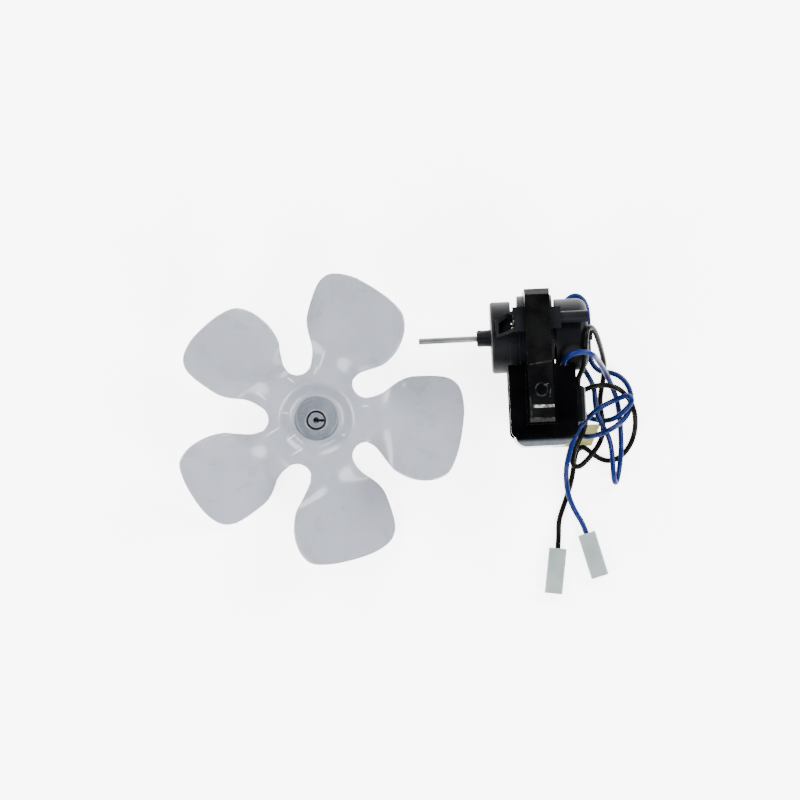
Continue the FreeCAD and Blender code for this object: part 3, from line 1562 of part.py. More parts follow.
doc.recompute()
for item in doc.Objects:
    if "Invalid" in item.State or "Error" in item.State:
        raise RuntimeError("%s is not built: %s" % (item.Label, item.State))
os.makedirs("parts", exist_ok=True)
for item in parts:
    if item.Shape.isNull() or not item.Shape.isValid():
        raise RuntimeError("%s has no valid shape" % item.Label)
    item.Shape.exportStep("parts/%s.step" % item.Label)
print("%d pieces written" % len(parts))
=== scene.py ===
import math

import bmesh
import bpy
import numpy as np
from mathutils import Matrix, Vector


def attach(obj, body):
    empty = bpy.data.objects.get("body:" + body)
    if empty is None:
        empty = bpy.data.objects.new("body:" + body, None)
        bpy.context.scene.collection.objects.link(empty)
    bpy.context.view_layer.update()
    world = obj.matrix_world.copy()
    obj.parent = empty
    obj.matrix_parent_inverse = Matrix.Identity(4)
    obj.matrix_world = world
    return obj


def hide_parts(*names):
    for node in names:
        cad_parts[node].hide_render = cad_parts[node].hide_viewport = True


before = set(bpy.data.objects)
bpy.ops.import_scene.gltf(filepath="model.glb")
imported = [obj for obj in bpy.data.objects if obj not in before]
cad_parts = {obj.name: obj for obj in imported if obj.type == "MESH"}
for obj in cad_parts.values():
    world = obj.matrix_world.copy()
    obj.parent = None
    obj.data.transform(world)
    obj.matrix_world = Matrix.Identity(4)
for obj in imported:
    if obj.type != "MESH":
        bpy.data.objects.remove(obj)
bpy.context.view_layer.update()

# A small shaded-pole fan motor and its push-on fan, lying on a white table and seen from almost straight
# above. All lengths are metres, in the frame of the CAD model: X along the shaft, Z up, and the origin
# midway between the two rear mounting posts.

MM = 0.001
TABLE = -30.5 * MM
LEG_TOP = 30.5
LEAD = 2.8 * MM

# Camera: a long lens 2.5 m away, two degrees off the vertical, turned by 2.7 degrees on its own axis.
CAMERA_DISTANCE = 2.5
CAMERA_ELEVATION = math.radians(88.0)
CAMERA_ROLL = math.radians(2.7)
PICTURE_WIDTH = 0.412
AIM = Vector((-0.0980, -0.0376, 0.0))
SENSOR_WIDTH = 36.0

lens = bpy.data.cameras.new("long_lens")
lens.sensor_width = SENSOR_WIDTH
lens.lens = SENSOR_WIDTH * CAMERA_DISTANCE / PICTURE_WIDTH
lens.clip_start = 0.05
lens.clip_end = 20.0
camera = bpy.data.objects.new("camera", lens)
bpy.context.scene.collection.objects.link(camera)
right = Vector((math.cos(CAMERA_ROLL), -math.sin(CAMERA_ROLL), 0.0))
level = Vector((math.sin(CAMERA_ROLL), math.cos(CAMERA_ROLL), 0.0))
back = -level * math.cos(CAMERA_ELEVATION) + Vector((0, 0, math.sin(CAMERA_ELEVATION)))
up = back.cross(right)
turned = Matrix((right, up, back)).transposed().to_4x4()
camera.matrix_world = Matrix.Translation(AIM + back * CAMERA_DISTANCE) @ turned
bpy.context.scene.camera = camera

# Leads: control points of the smooth curve that each one follows, over and under the other, in millimetres.
BLACK_ROUTE = [
    (-6.6, -38.5, 6.3),
    (-6.5, -32.5, 7.8),
    (-5.2, -29.0, 9.8),
    (-3.4, -26.2, 12.7),
    (-2.6, -21.4, 16.5),
    (-2.1, -16.1, 19.1),
    (-1.6, -10.5, 19.8),
    (-0.7, -6.4, 18.8),
    (1.3, -5.2, 16.1),
    (3.1, -6.8, 11.9),
    (4.7, -9.9, 6.0),
    (5.9, -13.1, -0.3),
    (7.0, -16.3, -6.6),
    (8.0, -19.7, -12.7),
    (8.7, -23.6, -18.4),
    (8.6, -28.0, -23.2),
    (7.7, -33.2, -26.9),
    (6.6, -38.1, -28.9),
    (6.0, -42.8, -28.2),
    (6.2, -47.8, -24.4),
    (6.8, -52.6, -23.1),
    (6.9, -57.3, -23.8),
    (6.0, -61.2, -26.8),
    (4.2, -64.8, -26.0),
    (1.0, -69.1, -25.5),
    (-3.1, -73.3, -25.9),
    (-6.4, -75.9, -25.5),
    (-9.6, -75.3, -25.5),
    (-9.9, -71.3, -25.5),
    (-8.4, -66.5, -25.5),
    (-6.1, -62.4, -23.7),
    (-3.7, -58.0, -23.4),
    (-2.1, -53.7, -24.9),
    (-2.0, -49.2, -25.2),
    (-3.7, -45.1, -25.7),
    (-5.6, -41.5, -27.8),
    (-4.7, -37.8, -23.9),
    (-1.2, -35.7, -18.8),
    (3.2, -34.4, -18.5),
    (8.4, -34.1, -19.2),
    (13.4, -35.2, -19.2),
    (17.1, -37.4, -20.4),
    (19.9, -40.1, -23.6),
    (22.3, -44.2, -23.7),
    (23.7, -49.5, -23.7),
    (23.9, -54.4, -25.9),
    (23.3, -59.2, -29.0),
    (21.5, -64.3, -29.1),
    (18.1, -69.3, -29.1),
    (13.7, -72.6, -29.1),
    (8.9, -73.6, -29.1),
    (4.1, -71.9, -29.1),
    (-0.4, -68.1, -29.1),
    (-3.8, -65.3, -28.8),
    (-7.1, -66.7, -28.9),
    (-8.6, -71.2, -29.1),
    (-9.6, -77.8, -29.1),
    (-11.3, -84.6, -29.1),
    (-13.7, -91.3, -29.1),
    (-16.4, -97.9, -29.1),
    (-18.6, -104.1, -28.7),
    (-18.9, -113.19, -27.3),
    (-20.3, -122.59, -27.3),
]
BLUE_ROUTE = [
    (-13.8, -27.35, 13.3),
    (-13.8, -23.6, 14.2),
    (-13.2, -21.8, 17.9),
    (-11.2, -19.8, 21.7),
    (-7.7, -18.5, 23.6),
    (-3.7, -18.2, 23.3),
    (-0.9, -18.6, 22.3),
    (2.1, -20.2, 20.4),
    (3.7, -21.4, 9.7),
    (5.3, -23.0, 2.5),
    (6.8, -24.8, -4.3),
    (8.3, -26.7, -10.9),
    (9.8, -29.2, -17.2),
    (11.4, -32.4, -22.7),
    (13.1, -36.4, -26.6),
    (14.9, -41.4, -28.5),
    (15.7, -47.7, -29.1),
    (16.1, -54.7, -29.1),
    (16.1, -60.5, -28.7),
    (15.9, -65.4, -26.0),
    (15.4, -70.7, -25.5),
    (14.6, -76.2, -26.0),
    (13.8, -80.6, -28.2),
    (12.7, -84.4, -28.2),
    (11.7, -85.1, -25.5),
    (11.1, -82.7, -22.8),
    (10.9, -78.3, -22.2),
    (10.9, -72.5, -23.1),
    (10.7, -68.4, -24.6),
    (10.3, -64.7, -23.0),
    (9.0, -60.2, -20.0),
    (6.5, -55.4, -19.5),
    (4.1, -50.0, -19.5),
    (3.4, -45.5, -21.0),
    (3.2, -40.7, -21.6),
    (3.1, -35.8, -22.1),
    (1.9, -31.5, -26.6),
    (-0.2, -27.2, -29.1),
    (-3.2, -21.7, -29.1),
    (-6.2, -15.4, -29.1),
    (-8.4, -8.8, -29.1),
    (-10.0, -2.0, -29.1),
    (-10.9, 4.3, -29.1),
    (-10.0, 9.4, -29.1),
    (-7.4, 12.7, -29.1),
    (-3.9, 13.7, -29.1),
    (-0.6, 12.0, -29.1),
    (1.5, 7.9, -29.1),
    (2.0, 1.9, -29.1),
    (1.8, -5.1, -29.1),
    (1.4, -12.1, -29.1),
    (1.6, -18.5, -29.1),
    (3.5, -23.5, -29.1),
    (6.8, -26.6, -29.1),
    (11.1, -27.2, -29.1),
    (15.9, -28.8, -29.1),
    (19.8, -32.3, -29.1),
    (22.2, -37.4, -29.1),
    (22.5, -42.6, -29.0),
    (21.4, -47.3, -26.9),
    (19.0, -51.1, -25.5),
    (16.0, -53.9, -24.3),
    (12.5, -56.3, -17.6),
    (8.7, -58.2, -15.9),
    (4.7, -59.6, -16.6),
    (-0.1, -60.5, -23.4),
    (-4.7, -59.7, -28.2),
    (-7.2, -57.0, -28.8),
    (-7.3, -53.5, -28.8),
    (-5.0, -50.7, -28.8),
    (-1.0, -50.3, -28.8),
    (3.7, -51.7, -28.7),
    (8.4, -52.6, -26.6),
    (12.6, -51.8, -23.4),
    (15.9, -49.7, -23.0),
    (18.6, -47.6, -19.9),
    (20.9, -45.3, -18.4),
    (22.6, -42.5, -18.4),
    (20.4, -40.0, -18.4),
    (16.7, -41.0, -18.4),
    (13.0, -42.4, -20.1),
    (9.4, -43.9, -19.0),
    (5.6, -45.8, -16.1),
    (1.7, -48.4, -16.0),
    (-1.6, -51.2, -18.3),
    (-4.6, -54.2, -21.0),
    (-7.5, -58.5, -21.1),
    (-9.8, -63.7, -21.4),
    (-11.7, -69.3, -21.6),
    (-13.2, -75.0, -21.6),
    (-13.6, -79.3, -24.0),
    (-13.6, -83.9, -25.5),
    (-12.9, -89.9, -25.5),
    (-11.1, -95.6, -25.6),
    (-9.0, -100.1, -27.7),
    (-5.45, -106.13, -27.3),
    (-3.06, -115.33, -27.3),
]


def lead(name, route):
    """One insulated lead: a round section carried along a NURBS curve whose control points are the route. The
    section is a metre in radius and every point shrinks it to half the lead's thickness."""
    curve = bpy.data.curves.new(name, "CURVE")
    curve.dimensions = "3D"
    curve.bevel_depth = 1.0
    curve.bevel_resolution = 5
    curve.resolution_u = 6
    curve.use_fill_caps = True
    spline = curve.splines.new("NURBS")
    spline.points.add(len(route) - 1)
    points = np.ones((len(route), 4))
    points[:, :3] = np.array(route) * MM
    spline.points.foreach_set("co", points.ravel())
    spline.points.foreach_set("radius", np.full(len(route), LEAD / 2))
    spline.order_u = 3
    spline.use_endpoint_u = True
    piece = bpy.data.objects.new(name + "_insulation", curve)
    bpy.context.scene.collection.objects.link(piece)
    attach(piece, "stator")
    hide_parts(name)
    return piece


black_lead = lead("black_lead", BLACK_ROUTE)
blue_lead = lead("blue_lead", BLUE_ROUTE)


def linear(code):
    """An sRGB hex colour as linear red, green, blue and one."""
    channels = [int(code[i : i + 2], 16) / 255 for i in (0, 2, 4)]
    return tuple(c / 12.92 if c <= 0.04045 else ((c + 0.055) / 1.055) ** 2.4 for c in channels) + (1.0,)


def add_node(tree, kind, values=None, links=None, **attributes):
    """Adds one node: attributes are set on it, values on its inputs, and links joins inputs to outputs."""
    made = tree.nodes.new(kind)
    for name, value in attributes.items():
        setattr(made, name, value)
    for name, value in (values or {}).items():
        made.inputs[name].default_value = value
    for name, source in (links or {}).items():
        tree.links.new(source, made.inputs[name])
    return made


# Shared by every material: the wide noise in millimetres, what it adds to the fine one for the colour, and
# what ridges add to the height
WIDE_GRAIN = 14 * MM
FINE_SHARE = 0.35
RIDGE_SHARE = 0.3
SAMPLES_ROUND_EDGE = 6
EDGE_RADIUS = 0.25
FAN_EDGE_RADIUS = 0.4
# A wave texture of scale 1 has a ridge every 2 pi / 20 of a unit
WAVE_PITCH = math.tau / 20
METAL = {"Metallic": 1.0}


def finish(name, dark, light, rough, grain, bump, values=None, stripes=None, edge=EDGE_RADIUS):
    """A material from what the real one is. Its colour runs from dark to light and its roughness over rough
    by soft noise, and finer noise of a grain in millimetres lifts the surface by bump millimetres. Stripes
    gives the pitch in millimetres of ridges along X, and edge the radius in millimetres of every edge."""
    made = bpy.data.materials.new(name)
    made.use_nodes = True
    tree = made.node_tree
    shader = tree.nodes["Principled BSDF"]
    place = add_node(tree, "ShaderNodeTexCoord").outputs["Object"]
    fine = add_node(
        tree,
        "ShaderNodeTexNoise",
        {"Scale": 1 / (grain * MM), "Detail": 4.0, "Roughness": 0.55},
        {"Vector": place},
    ).outputs["Fac"]
    wide = add_node(
        tree,
        "ShaderNodeTexNoise",
        {"Scale": 1 / WIDE_GRAIN, "Detail": 2.0, "Roughness": 0.5},
        {"Vector": place},
    ).outputs["Fac"]
    both = add_node(
        tree, "ShaderNodeMath", {1: FINE_SHARE}, {0: fine, 2: wide}, operation="MULTIPLY_ADD"
    ).outputs[0]
    blend = add_node(
        tree,
        "ShaderNodeMapRange",
        {"From Min": 0.45, "From Max": 0.9, "To Min": 0.0, "To Max": 1.0},
        {"Value": both},
    ).outputs["Result"]
    colour = add_node(
        tree, "ShaderNodeMix", {6: linear(dark), 7: linear(light)}, {"Factor": blend}, data_type="RGBA"
    ).outputs[2]
    tree.links.new(colour, shader.inputs["Base Color"])
    spread = add_node(
        tree,
        "ShaderNodeMapRange",
        {"From Min": 0.3, "From Max": 0.7, "To Min": rough[0], "To Max": rough[1]},
        {"Value": wide},
    ).outputs["Result"]
    tree.links.new(spread, shader.inputs["Roughness"])
    height = fine
    if stripes:
        ridges = add_node(
            tree,
            "ShaderNodeTexWave",
            {"Scale": WAVE_PITCH / (stripes * MM), "Distortion": 0.4, "Detail": 1.0},
            {"Vector": place},
            bands_direction="X",
        ).outputs["Fac"]
        height = add_node(
            tree, "ShaderNodeMath", {1: RIDGE_SHARE}, {0: fine, 2: ridges}, operation="MULTIPLY_ADD"
        ).outputs[0]
    soft_edge = add_node(
        tree, "ShaderNodeBevel", {"Radius": edge * MM}, samples=SAMPLES_ROUND_EDGE
    ).outputs["Normal"]
    lifted = add_node(
        tree,
        "ShaderNodeBump",
        {"Strength": 1.0, "Distance": bump * MM},
        {"Height": height, "Normal": soft_edge},
    ).outputs["Normal"]
    tree.links.new(lifted, shader.inputs["Normal"])
    for socket, value in (values or {}).items():
        shader.inputs[socket].default_value = value
    return made


# Varnished electrical steel in sheets of half a millimetre: near-black gloss, fine ridges on its edges.
varnished_steel = finish(
    "varnished_steel_laminations",
    "010102",
    "030303",
    (0.22, 0.34),
    1.2,
    0.03,
    {"IOR": 1.5, "Specular IOR Level": 0.16},
    stripes=0.5,
)
# Moulded nylon: glossy black with a faint flow texture.
black_nylon = finish(
    "moulded_nylon_black",
    "010102",
    "030304",
    (0.16, 0.26),
    2.0,
    0.012,
    {"IOR": 1.53, "Specular IOR Level": 0.16},
)
# Glass-filled moulded plastic: satin black, slightly grey where it catches light.
bracket_plastic = finish(
    "glass_filled_plastic_black",
    "06070A",
    "0D0E12",
    (0.42, 0.56),
    0.8,
    0.025,
    {"IOR": 1.5, "Specular IOR Level": 0.07},
)
# Pressure-sensitive tape wound over the coil: smooth and bluish black.
coil_tape = finish(
    "polyester_tape_black",
    "030406",
    "06080A",
    (0.2, 0.32),
    3.0,
    0.04,
    {"IOR": 1.6, "Specular IOR Level": 0.2},
)
# Polyester film: thin, clear and yellow.
yellow_film = finish(
    "polyester_film_yellow",
    "7C7A42",
    "8A884E",
    (0.15, 0.25),
    2.0,
    0.02,
    {"IOR": 1.6, "Specular IOR Level": 0.3, "Transmission Weight": 0.25},
)
# Drawn copper bar, a little tarnished.
bare_copper = finish("drawn_copper", "8A4A2C", "B8683F", (0.3, 0.45), 0.6, 0.02, METAL)
# Enamelled winding wire: reddish copper under clear varnish.
enamelled_copper = finish("enamelled_copper_wire", "5A2410", "783418", (0.3, 0.4), 0.3, 0.08, METAL)
# Sintered bronze holding oil: dull brown metal with open pores.
sintered_bronze = finish("sintered_bronze", "6B5230", "8A6C42", (0.5, 0.6), 0.15, 0.03, METAL)
# Blued spring steel: nearly black, with a smooth finish.
spring_steel = finish("blued_spring_steel", "141518", "2C2D31", (0.25, 0.35), 0.5, 0.01, METAL)
# Wool felt soaked with oil: brownish, matt and fuzzy.
oiled_felt = finish("oiled_felt", "5A5140", "7D735C", (0.8, 0.95), 0.3, 0.2)
# Zinc-plated steel screws: pale grey metal with a yellowish bloom.
zinc_screw = finish("zinc_plated_steel", "5C5A52", "85827A", (0.3, 0.4), 0.5, 0.02, METAL)
# Ground shaft steel: bright, with rings too fine to see one by one, drawn coarser than they are.
ground_steel = finish("ground_steel", "6C6E70", "8A8C8E", (0.34, 0.42), 0.4, 0.003, METAL, stripes=0.6)
# Rotor turned to size: bare steel with the edges of its sheets as fine rings.
rotor_steel = finish(
    "turned_lamination_steel", "4A4846", "6A6866", (0.35, 0.5), 0.5, 0.03, METAL, stripes=0.5
)
# Die-cast aluminium: light grey, slightly rough from the die.
cast_aluminium = finish("die_cast_aluminium", "8E9092", "B4B6B8", (0.4, 0.55), 0.6, 0.04, METAL)
# Turned nylon washers: off-white and waxy.
washer_nylon = finish("turned_nylon", "C9C6BA", "DAD8CE", (0.35, 0.5), 0.6, 0.02)
# Tin-plated brass strip: silvery with soft smears.
tinned_brass = finish("tin_plated_brass", "8A9296", "A8B0B4", (0.25, 0.35), 0.5, 0.02, METAL)
# Natural nylon housings: milky white with a bluish cast, letting some light through.
white_nylon = finish(
    "moulded_nylon_natural",
    "737F80",
    "87918F",
    (0.3, 0.4),
    1.0,
    0.02,
    {
        "IOR": 1.53,
        "Specular IOR Level": 0.4,
        "Transmission Weight": 0.2,
        "Subsurface Weight": 0.3,
        "Subsurface Scale": 0.002,
    },
)
# Natural polypropylene of the fan: milky, grey-blue, with a soft gloss and light scattered inside it.
fan_plastic = finish(
    "moulded_polypropylene_natural",
    "7A7E87",
    "80848D",
    (0.26, 0.32),
    3.0,
    0.008,
    {
        "IOR": 1.49,
        "Specular IOR Level": 0.3,
        "Subsurface Weight": 0.3,
        "Subsurface Scale": 0.003,
        "Coat Weight": 0.3,
        "Coat Roughness": 0.07,
    },
    edge=FAN_EDGE_RADIUS,
)
# The same polypropylene painted darker for the hub and its collet, as painted shade where the thick plastic
# lets less light through.
hub_plastic_painted_shade = finish(
    "moulded_polypropylene_hub_painted_shade",
    "4F545C",
    "5B6169",
    (0.22, 0.32),
    3.0,
    0.012,
    {"IOR": 1.49, "Specular IOR Level": 0.5, "Subsurface Weight": 0.2, "Subsurface Scale": 0.002},
    edge=FAN_EDGE_RADIUS,
)
# Flexible vinyl insulation: smooth, slightly waxy, with a faint drawn texture.
black_pvc = finish(
    "flexible_vinyl_black",
    "040403",
    "0B0A08",
    (0.28, 0.4),
    1.0,
    0.02,
    {"IOR": 1.52, "Specular IOR Level": 0.06},
)
blue_pvc = finish(
    "flexible_vinyl_blue",
    "020D38",
    "04174E",
    (0.28, 0.4),
    1.0,
    0.02,
    {"IOR": 1.52, "Specular IOR Level": 0.1},
)
# The bore and the moat of the hub: the same plastic, painted near-black as the shade deep in the bore and
# moat.
bore_plastic_painted_shade = finish(
    "moulded_polypropylene_bore_painted_shade",
    "0A0B0C",
    "16181A",
    (0.6, 0.8),
    1.0,
    0.02,
    {"IOR": 1.49, "Specular IOR Level": 0.1},
)

# The CAD nodes' materials, and the leads'
for node, material in {
    "c_frame_stack": varnished_steel,
    "coil_core": varnished_steel,
    "bobbin": black_nylon,
    "winding": enamelled_copper,
    "coil_wrap": coil_tape,
    "insulating_film": yellow_film,
    "shading_rings": bare_copper,
    "front_bracket": bracket_plastic,
    "rear_bracket": bracket_plastic,
    "rear_cap": bracket_plastic,
    "front_bearing": sintered_bronze,
    "rear_bearing": sintered_bronze,
    "front_bearing_clip": spring_steel,
    "rear_bearing_clip": spring_steel,
    "front_oil_felt": oiled_felt,
    "rear_oil_felt": oiled_felt,
    "bracket_screws": zinc_screw,
    "black_lead_terminal": tinned_brass,
    "blue_lead_terminal": tinned_brass,
    "black_lead_housing": white_nylon,
    "blue_lead_housing": white_nylon,
    "fan": fan_plastic,
    "fan_spring_ring": spring_steel,
    "shaft": ground_steel,
    "rotor_core": rotor_steel,
    "rotor_cage": cast_aluminium,
    "front_thrust_washer": washer_nylon,
    "rear_thrust_washer": washer_nylon,
    "front_oil_slinger": washer_nylon,
    "rear_oil_slinger": washer_nylon,
}.items():
    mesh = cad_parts[node].data
    mesh.materials.clear()
    mesh.materials.append(material)
black_lead.data.materials.append(black_pvc)
blue_lead.data.materials.append(blue_pvc)

# The fan: one moulding, drawn in its own frame in millimetres, Z along its axis and one blade along X. It is
# turned about its axis, then leans about a level line, by the angle whose cosine is given.
FAN_TURN = math.radians(-2.8)
FAN_LEAN = math.acos(0.978377036)
LEAN_HEADING = math.radians(-8.0)
LEAN_LINE = Vector((math.cos(LEAN_HEADING), math.sin(LEAN_HEADING), 0.0))
FAN_ROTATION = np.array(Matrix.Rotation(FAN_LEAN, 3, LEAN_LINE) @ Matrix.Rotation(FAN_TURN, 3, "Z"))
FAN_PLACE = np.array([-141.4, -44.3, -10.732])
FAN_TIP = 76.6
BLADE_HALF = 24.65
NOTCH_RADIUS = 7.4
BLADES = 5
NOTCH_DISTANCE = 32.2
NOTCH_CENTRE = NOTCH_DISTANCE * np.array([math.cos(math.pi / BLADES), math.sin(math.pi / BLADES)])
NECK = NOTCH_CENTRE - (0.0, NOTCH_RADIUS)
WALL = 1.5
STEP_EDGE = 11.6

# The front face: where the dish starts, how high it stands there and how far and high it rises, and where
# the pitch starts, its run and its angle, with the blade's camber and the root's sag
DISH_EDGE = 12.4
DISH_RUN = 8.0
DISH_START = 2.4
DISH_RISE = 4.4
PITCH_START = 24.0
PITCH_RUN = 16.0
PITCH_ANGLE = math.radians(28)
CAMBER = 2.0
SAG_START = 20
SAG_RUN = 10
SAG = 0.15
LINE_WIDTH = 0.3
LINE_RISE = 0.12

# The hub, its moat and its collet: radii and heights from the fan's plane
HUB_RISE = 8.5
MOAT_FLOOR = 3.5
MOAT_RADIUS = 5.05
BARREL_END = -19.0
BORE = 1.62
COLLET_RADIUS = 4.1
SLOT = 1.4
# A hair between faces that would lie in one plane with the solid's
HAIR = 0.02

# How finely the fan is drawn
BLADE_COLUMNS = 53
BLADE_ROWS = 62
ROOT_ROWS = 42
NOTCH_POINTS = 22
OUTLINE_POINTS = 1200
HUB_COLUMNS = 97
BORE_COLUMNS = 49
COLLET_COLUMNS = 81
WELD = 2e-6
SMOOTH_BELOW = math.radians(35)

# A blade's outline from one neck round the tip to the other: shares of the tip radius and the half width
BLADE_OUTLINE = np.array(
    [
        (0.400, 0.497),
        (0.459, 0.568),
        (0.499, 0.655),
        (0.558, 0.773),
        (0.627, 0.854),
        (0.725, 0.876),
        (0.836, 0.868),
        (0.909, 0.807),
        (0.964, 0.649),
        (0.992, 0.365),
        (0.993, 0.020),
        (0.976, -0.341),
        (0.954, -0.617),
        (0.915, -0.897),
        (0.867, -1.039),
        (0.779, -1.124),
        (0.675, -1.116),
        (0.587, -1.030),
        (0.510, -0.892),
        (0.449, -0.702),
        (0.396, -0.544),
    ]
)

# Witness lines of the moulding at the blades' roots, low ridges with a painted white glint along them: the
# blade, and both ends along and across it
ROOT_LINES = (
    (0, 23.4, 7.4, 27.4, 7.4),
    (0, 44.0, 20.5, 45.0, 15.8),
    (0, 13.0, -8.4, 15.0, -7.9),
    (1, 25.2, 7.0, 36.2, 6.7),
    (1, 22.0, 8.3, 27.0, 8.0),
    (2, 20.1, -9.0, 25.6, -9.3),
    (2, 26.8, 6.7, 33.2, 6.5),
    (2, 13.0, 6.2, 16.7, 7.4),
    (3, 17.0, -7.9, 26.7, -8.4),
    (3, 13.0, 0.5, 19.5, 0.0),
    (3, 14.2, 8.1, 21.2, 7.4),
)


def smooth_step(t):
    """Zero to one with level ends, as 3t^2 - 2t^3 of the clipped value."""
    t = np.clip(t, 0.0, 1.0)
    return t * t * (3 - 2 * t)


def through(points, count):
    """A smooth line through the points: cubic pieces whose slopes are half the way between neighbours."""
    padded = np.vstack([2 * points[0] - points[1], points, 2 * points[-1] - points[-2]])
    at = np.linspace(0, len(points) - 1, count)
    piece = np.minimum(at.astype(int), len(points) - 2)
    t = (at - piece)[:, None]
    p0, p1, p2, p3 = (padded[piece + k] for k in range(4))
    square = 2 * p0 - 5 * p1 + 4 * p2 - p3
    cube = 3 * p1 - p0 - 3 * p2 + p3
    return 0.5 * (2 * p1 + (p2 - p0) * t + square * t**2 + cube * t**3)


def crease_and_glint(x, y, number):
    """How much a place on a blade lies on a witness line, from 0 to 1, which raises the line's ridge and
    paints its white glint: a narrow bell of the distance from the line, fading towards both its ends as a
    flattened half of a sine."""
    total = np.zeros_like(x)
    for blade, x0, y0, x1, y1 in ROOT_LINES:
        run = np.array([x1 - x0, y1 - y0])
        share = np.clip(((x - x0) * run[0] + (y - y0) * run[1]) / (run @ run), 0, 1)
        away = np.hypot(x - x0 - share * run[0], y - y0 - share * run[1])
        bell = np.exp(-((away / LINE_WIDTH) ** 2)) * np.sin(math.pi * share) ** 0.7
        total = total + (blade == number) * bell
    return np.clip(total, 0, 1)


def fan_front(x, y, number):
    """Height of the fan's front face over its own plane, for places along and across one blade: a dish that
    rises round the hub by half a cosine, then the pitch as a smooth step of the distance out times the width,
    with a camber of the width squared, and the witness lines as low ridges."""
    out = np.clip((np.hypot(x, y) - DISH_EDGE) / DISH_RUN, 0, 1)
    dish = DISH_START + DISH_RISE / 2 * (1 - np.cos(math.pi * out))
    pitch = smooth_step((x - PITCH_START) / PITCH_RUN)
    height = dish - SAG * smooth_step((x - SAG_START) / SAG_RUN)
    height = height + pitch * (CAMBER * (y / BLADE_HALF) ** 2 - math.tan(PITCH_ANGLE) * y)
    return height + LINE_RISE * crease_and_glint(x, y, number)


def quads(rows, columns, start=0):
    """Corner numbers of the faces of a grid of rows by columns."""
    index = np.arange(rows * columns).reshape(rows, columns) + start
    corners = [index[:-1, :-1], index[1:, :-1], index[1:, 1:], index[:-1, 1:]]
    return np.stack(corners, axis=-1).reshape(-1, 4)


def where_fan_lies(points):
    """Points of the fan's own frame in millimetres, turned and put where the fan lies, in metres."""
    return (np.asarray(points).reshape(-1, 3) @ FAN_ROTATION.T + FAN_PLACE) * MM


def built(name, points, faces, material, outwards=True, marks=None):
    """A piece of the fan from all its points in the fan's own frame and its faces, smooth where it bends by
    less than 35 degrees. Its faces are turned outwards if asked, and marks is a value for each point."""
    mesh = bpy.data.meshes.new(name)
    mesh.from_pydata(where_fan_lies(points).tolist(), [], [face.tolist() for face in faces])
    if marks is not None:
        mesh.attributes.new("crease_and_glint", "FLOAT", "POINT").data.foreach_set("value", marks)
    work = bmesh.new()
    work.from_mesh(mesh)
    bmesh.ops.remove_doubles(work, verts=work.verts, dist=WELD)
    if outwards:
        bmesh.ops.recalc_face_normals(work, faces=work.faces)
    work.to_mesh(mesh)
    work.free()
    mesh.shade_smooth()
    mesh.set_sharp_from_angle(angle=SMOOTH_BELOW)
    mesh.materials.append(material)
    piece = bpy.data.objects.new(name, mesh)
    bpy.context.scene.collection.objects.link(piece)
    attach(piece, "stator")
    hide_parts("fan")
    return piece


def blade_sectors():
    """Front face of the five sectors. Near the hub the surface is ruled from the step's circle to the notches
    and the neck line; beyond the neck each row runs straight across the blade between its two edges, and the
    rows close up towards the tip as a sine."""
    across = np.linspace(-1, 1, BLADE_COLUMNS)
    neck_line = np.stack([np.full_like(across, NECK[0]), across * NECK[1]], axis=1)
    arc = np.linspace(1.5, 1.2, NOTCH_POINTS + 1)[1:] * math.pi
    notch = NOTCH_CENTRE + NOTCH_RADIUS * np.stack([np.cos(arc), np.sin(arc)], axis=1)
    edge = np.vstack([(notch * (1, -1))[::-1], neck_line, notch])
    reach = np.hypot(edge[:, 0], edge[:, 1])
    angle = np.arctan2(edge[:, 1], edge[:, 0])
    share = np.linspace(0, 1, ROOT_ROWS)[:, None]
    radius = STEP_EDGE + share * (reach - STEP_EDGE)
    root_x = radius * np.cos(angle)
    root_y = radius * np.sin(angle)
    outline = np.vstack([NECK, BLADE_OUTLINE * (FAN_TIP, BLADE_HALF), NECK * (1, -1)])
    line = through(outline, OUTLINE_POINTS)
    top = int(np.argmax(line[:, 0]))
    row_x = NECK[0] + (line[top, 0] - NECK[0]) * np.sin(np.linspace(0, math.pi / 2, BLADE_ROWS))
    upper = np.interp(row_x, np.maximum.accumulate(line[: top + 1, 0]), line[: top + 1, 1])
    lower = np.interp(row_x, np.maximum.accumulate(line[top:, 0][::-1]), line[top:, 1][::-1])
    middle = ((upper + lower) / 2)[:, None]
    half = ((upper - lower) / 2)[:, None]
    blade_y = middle + half * across
    blade_x = np.repeat(row_x[:, None], len(across), axis=1)
    parts = []
    faces = []
    marks = []
    count = 0
    for number in range(BLADES):
        turn = math.tau * number / BLADES
        for x, y in ((root_x, root_y), (blade_x, blade_y)):
            turned_x = x * math.cos(turn) - y * math.sin(turn)
            turned_y = x * math.sin(turn) + y * math.cos(turn)
            places = np.stack([turned_x, turned_y, fan_front(x, y, number)], axis=-1)
            parts.append(places.reshape(-1, 3))
            marks.append(crease_and_glint(x, y, number).ravel())
            faces.append(quads(*x.shape, start=count))
            count += x.size
    return np.vstack(parts), np.vstack(faces), np.concatenate(marks)


def revolved(profile, count, slot=0.0):
    """A profile of radius and height carried round the axis. With a slot, it stops short of the X line on
    both sides by half the slot's width at every radius, so the slot's walls are parallel."""
    profile = np.asarray(profile, float)
    gap = np.arcsin(np.clip(slot / 2 / profile[:, 0], 0, 1))[:, None]
    angle = gap + np.linspace(0, 1, count) * (math.tau - 2 * gap)
    radius = profile[:, :1]
    height = np.repeat(profile[:, 1:], count, axis=1)
    points = np.stack([radius * np.cos(angle), radius * np.sin(angle), height], axis=-1)
    return points.reshape(-1, 3), quads(len(profile), count)


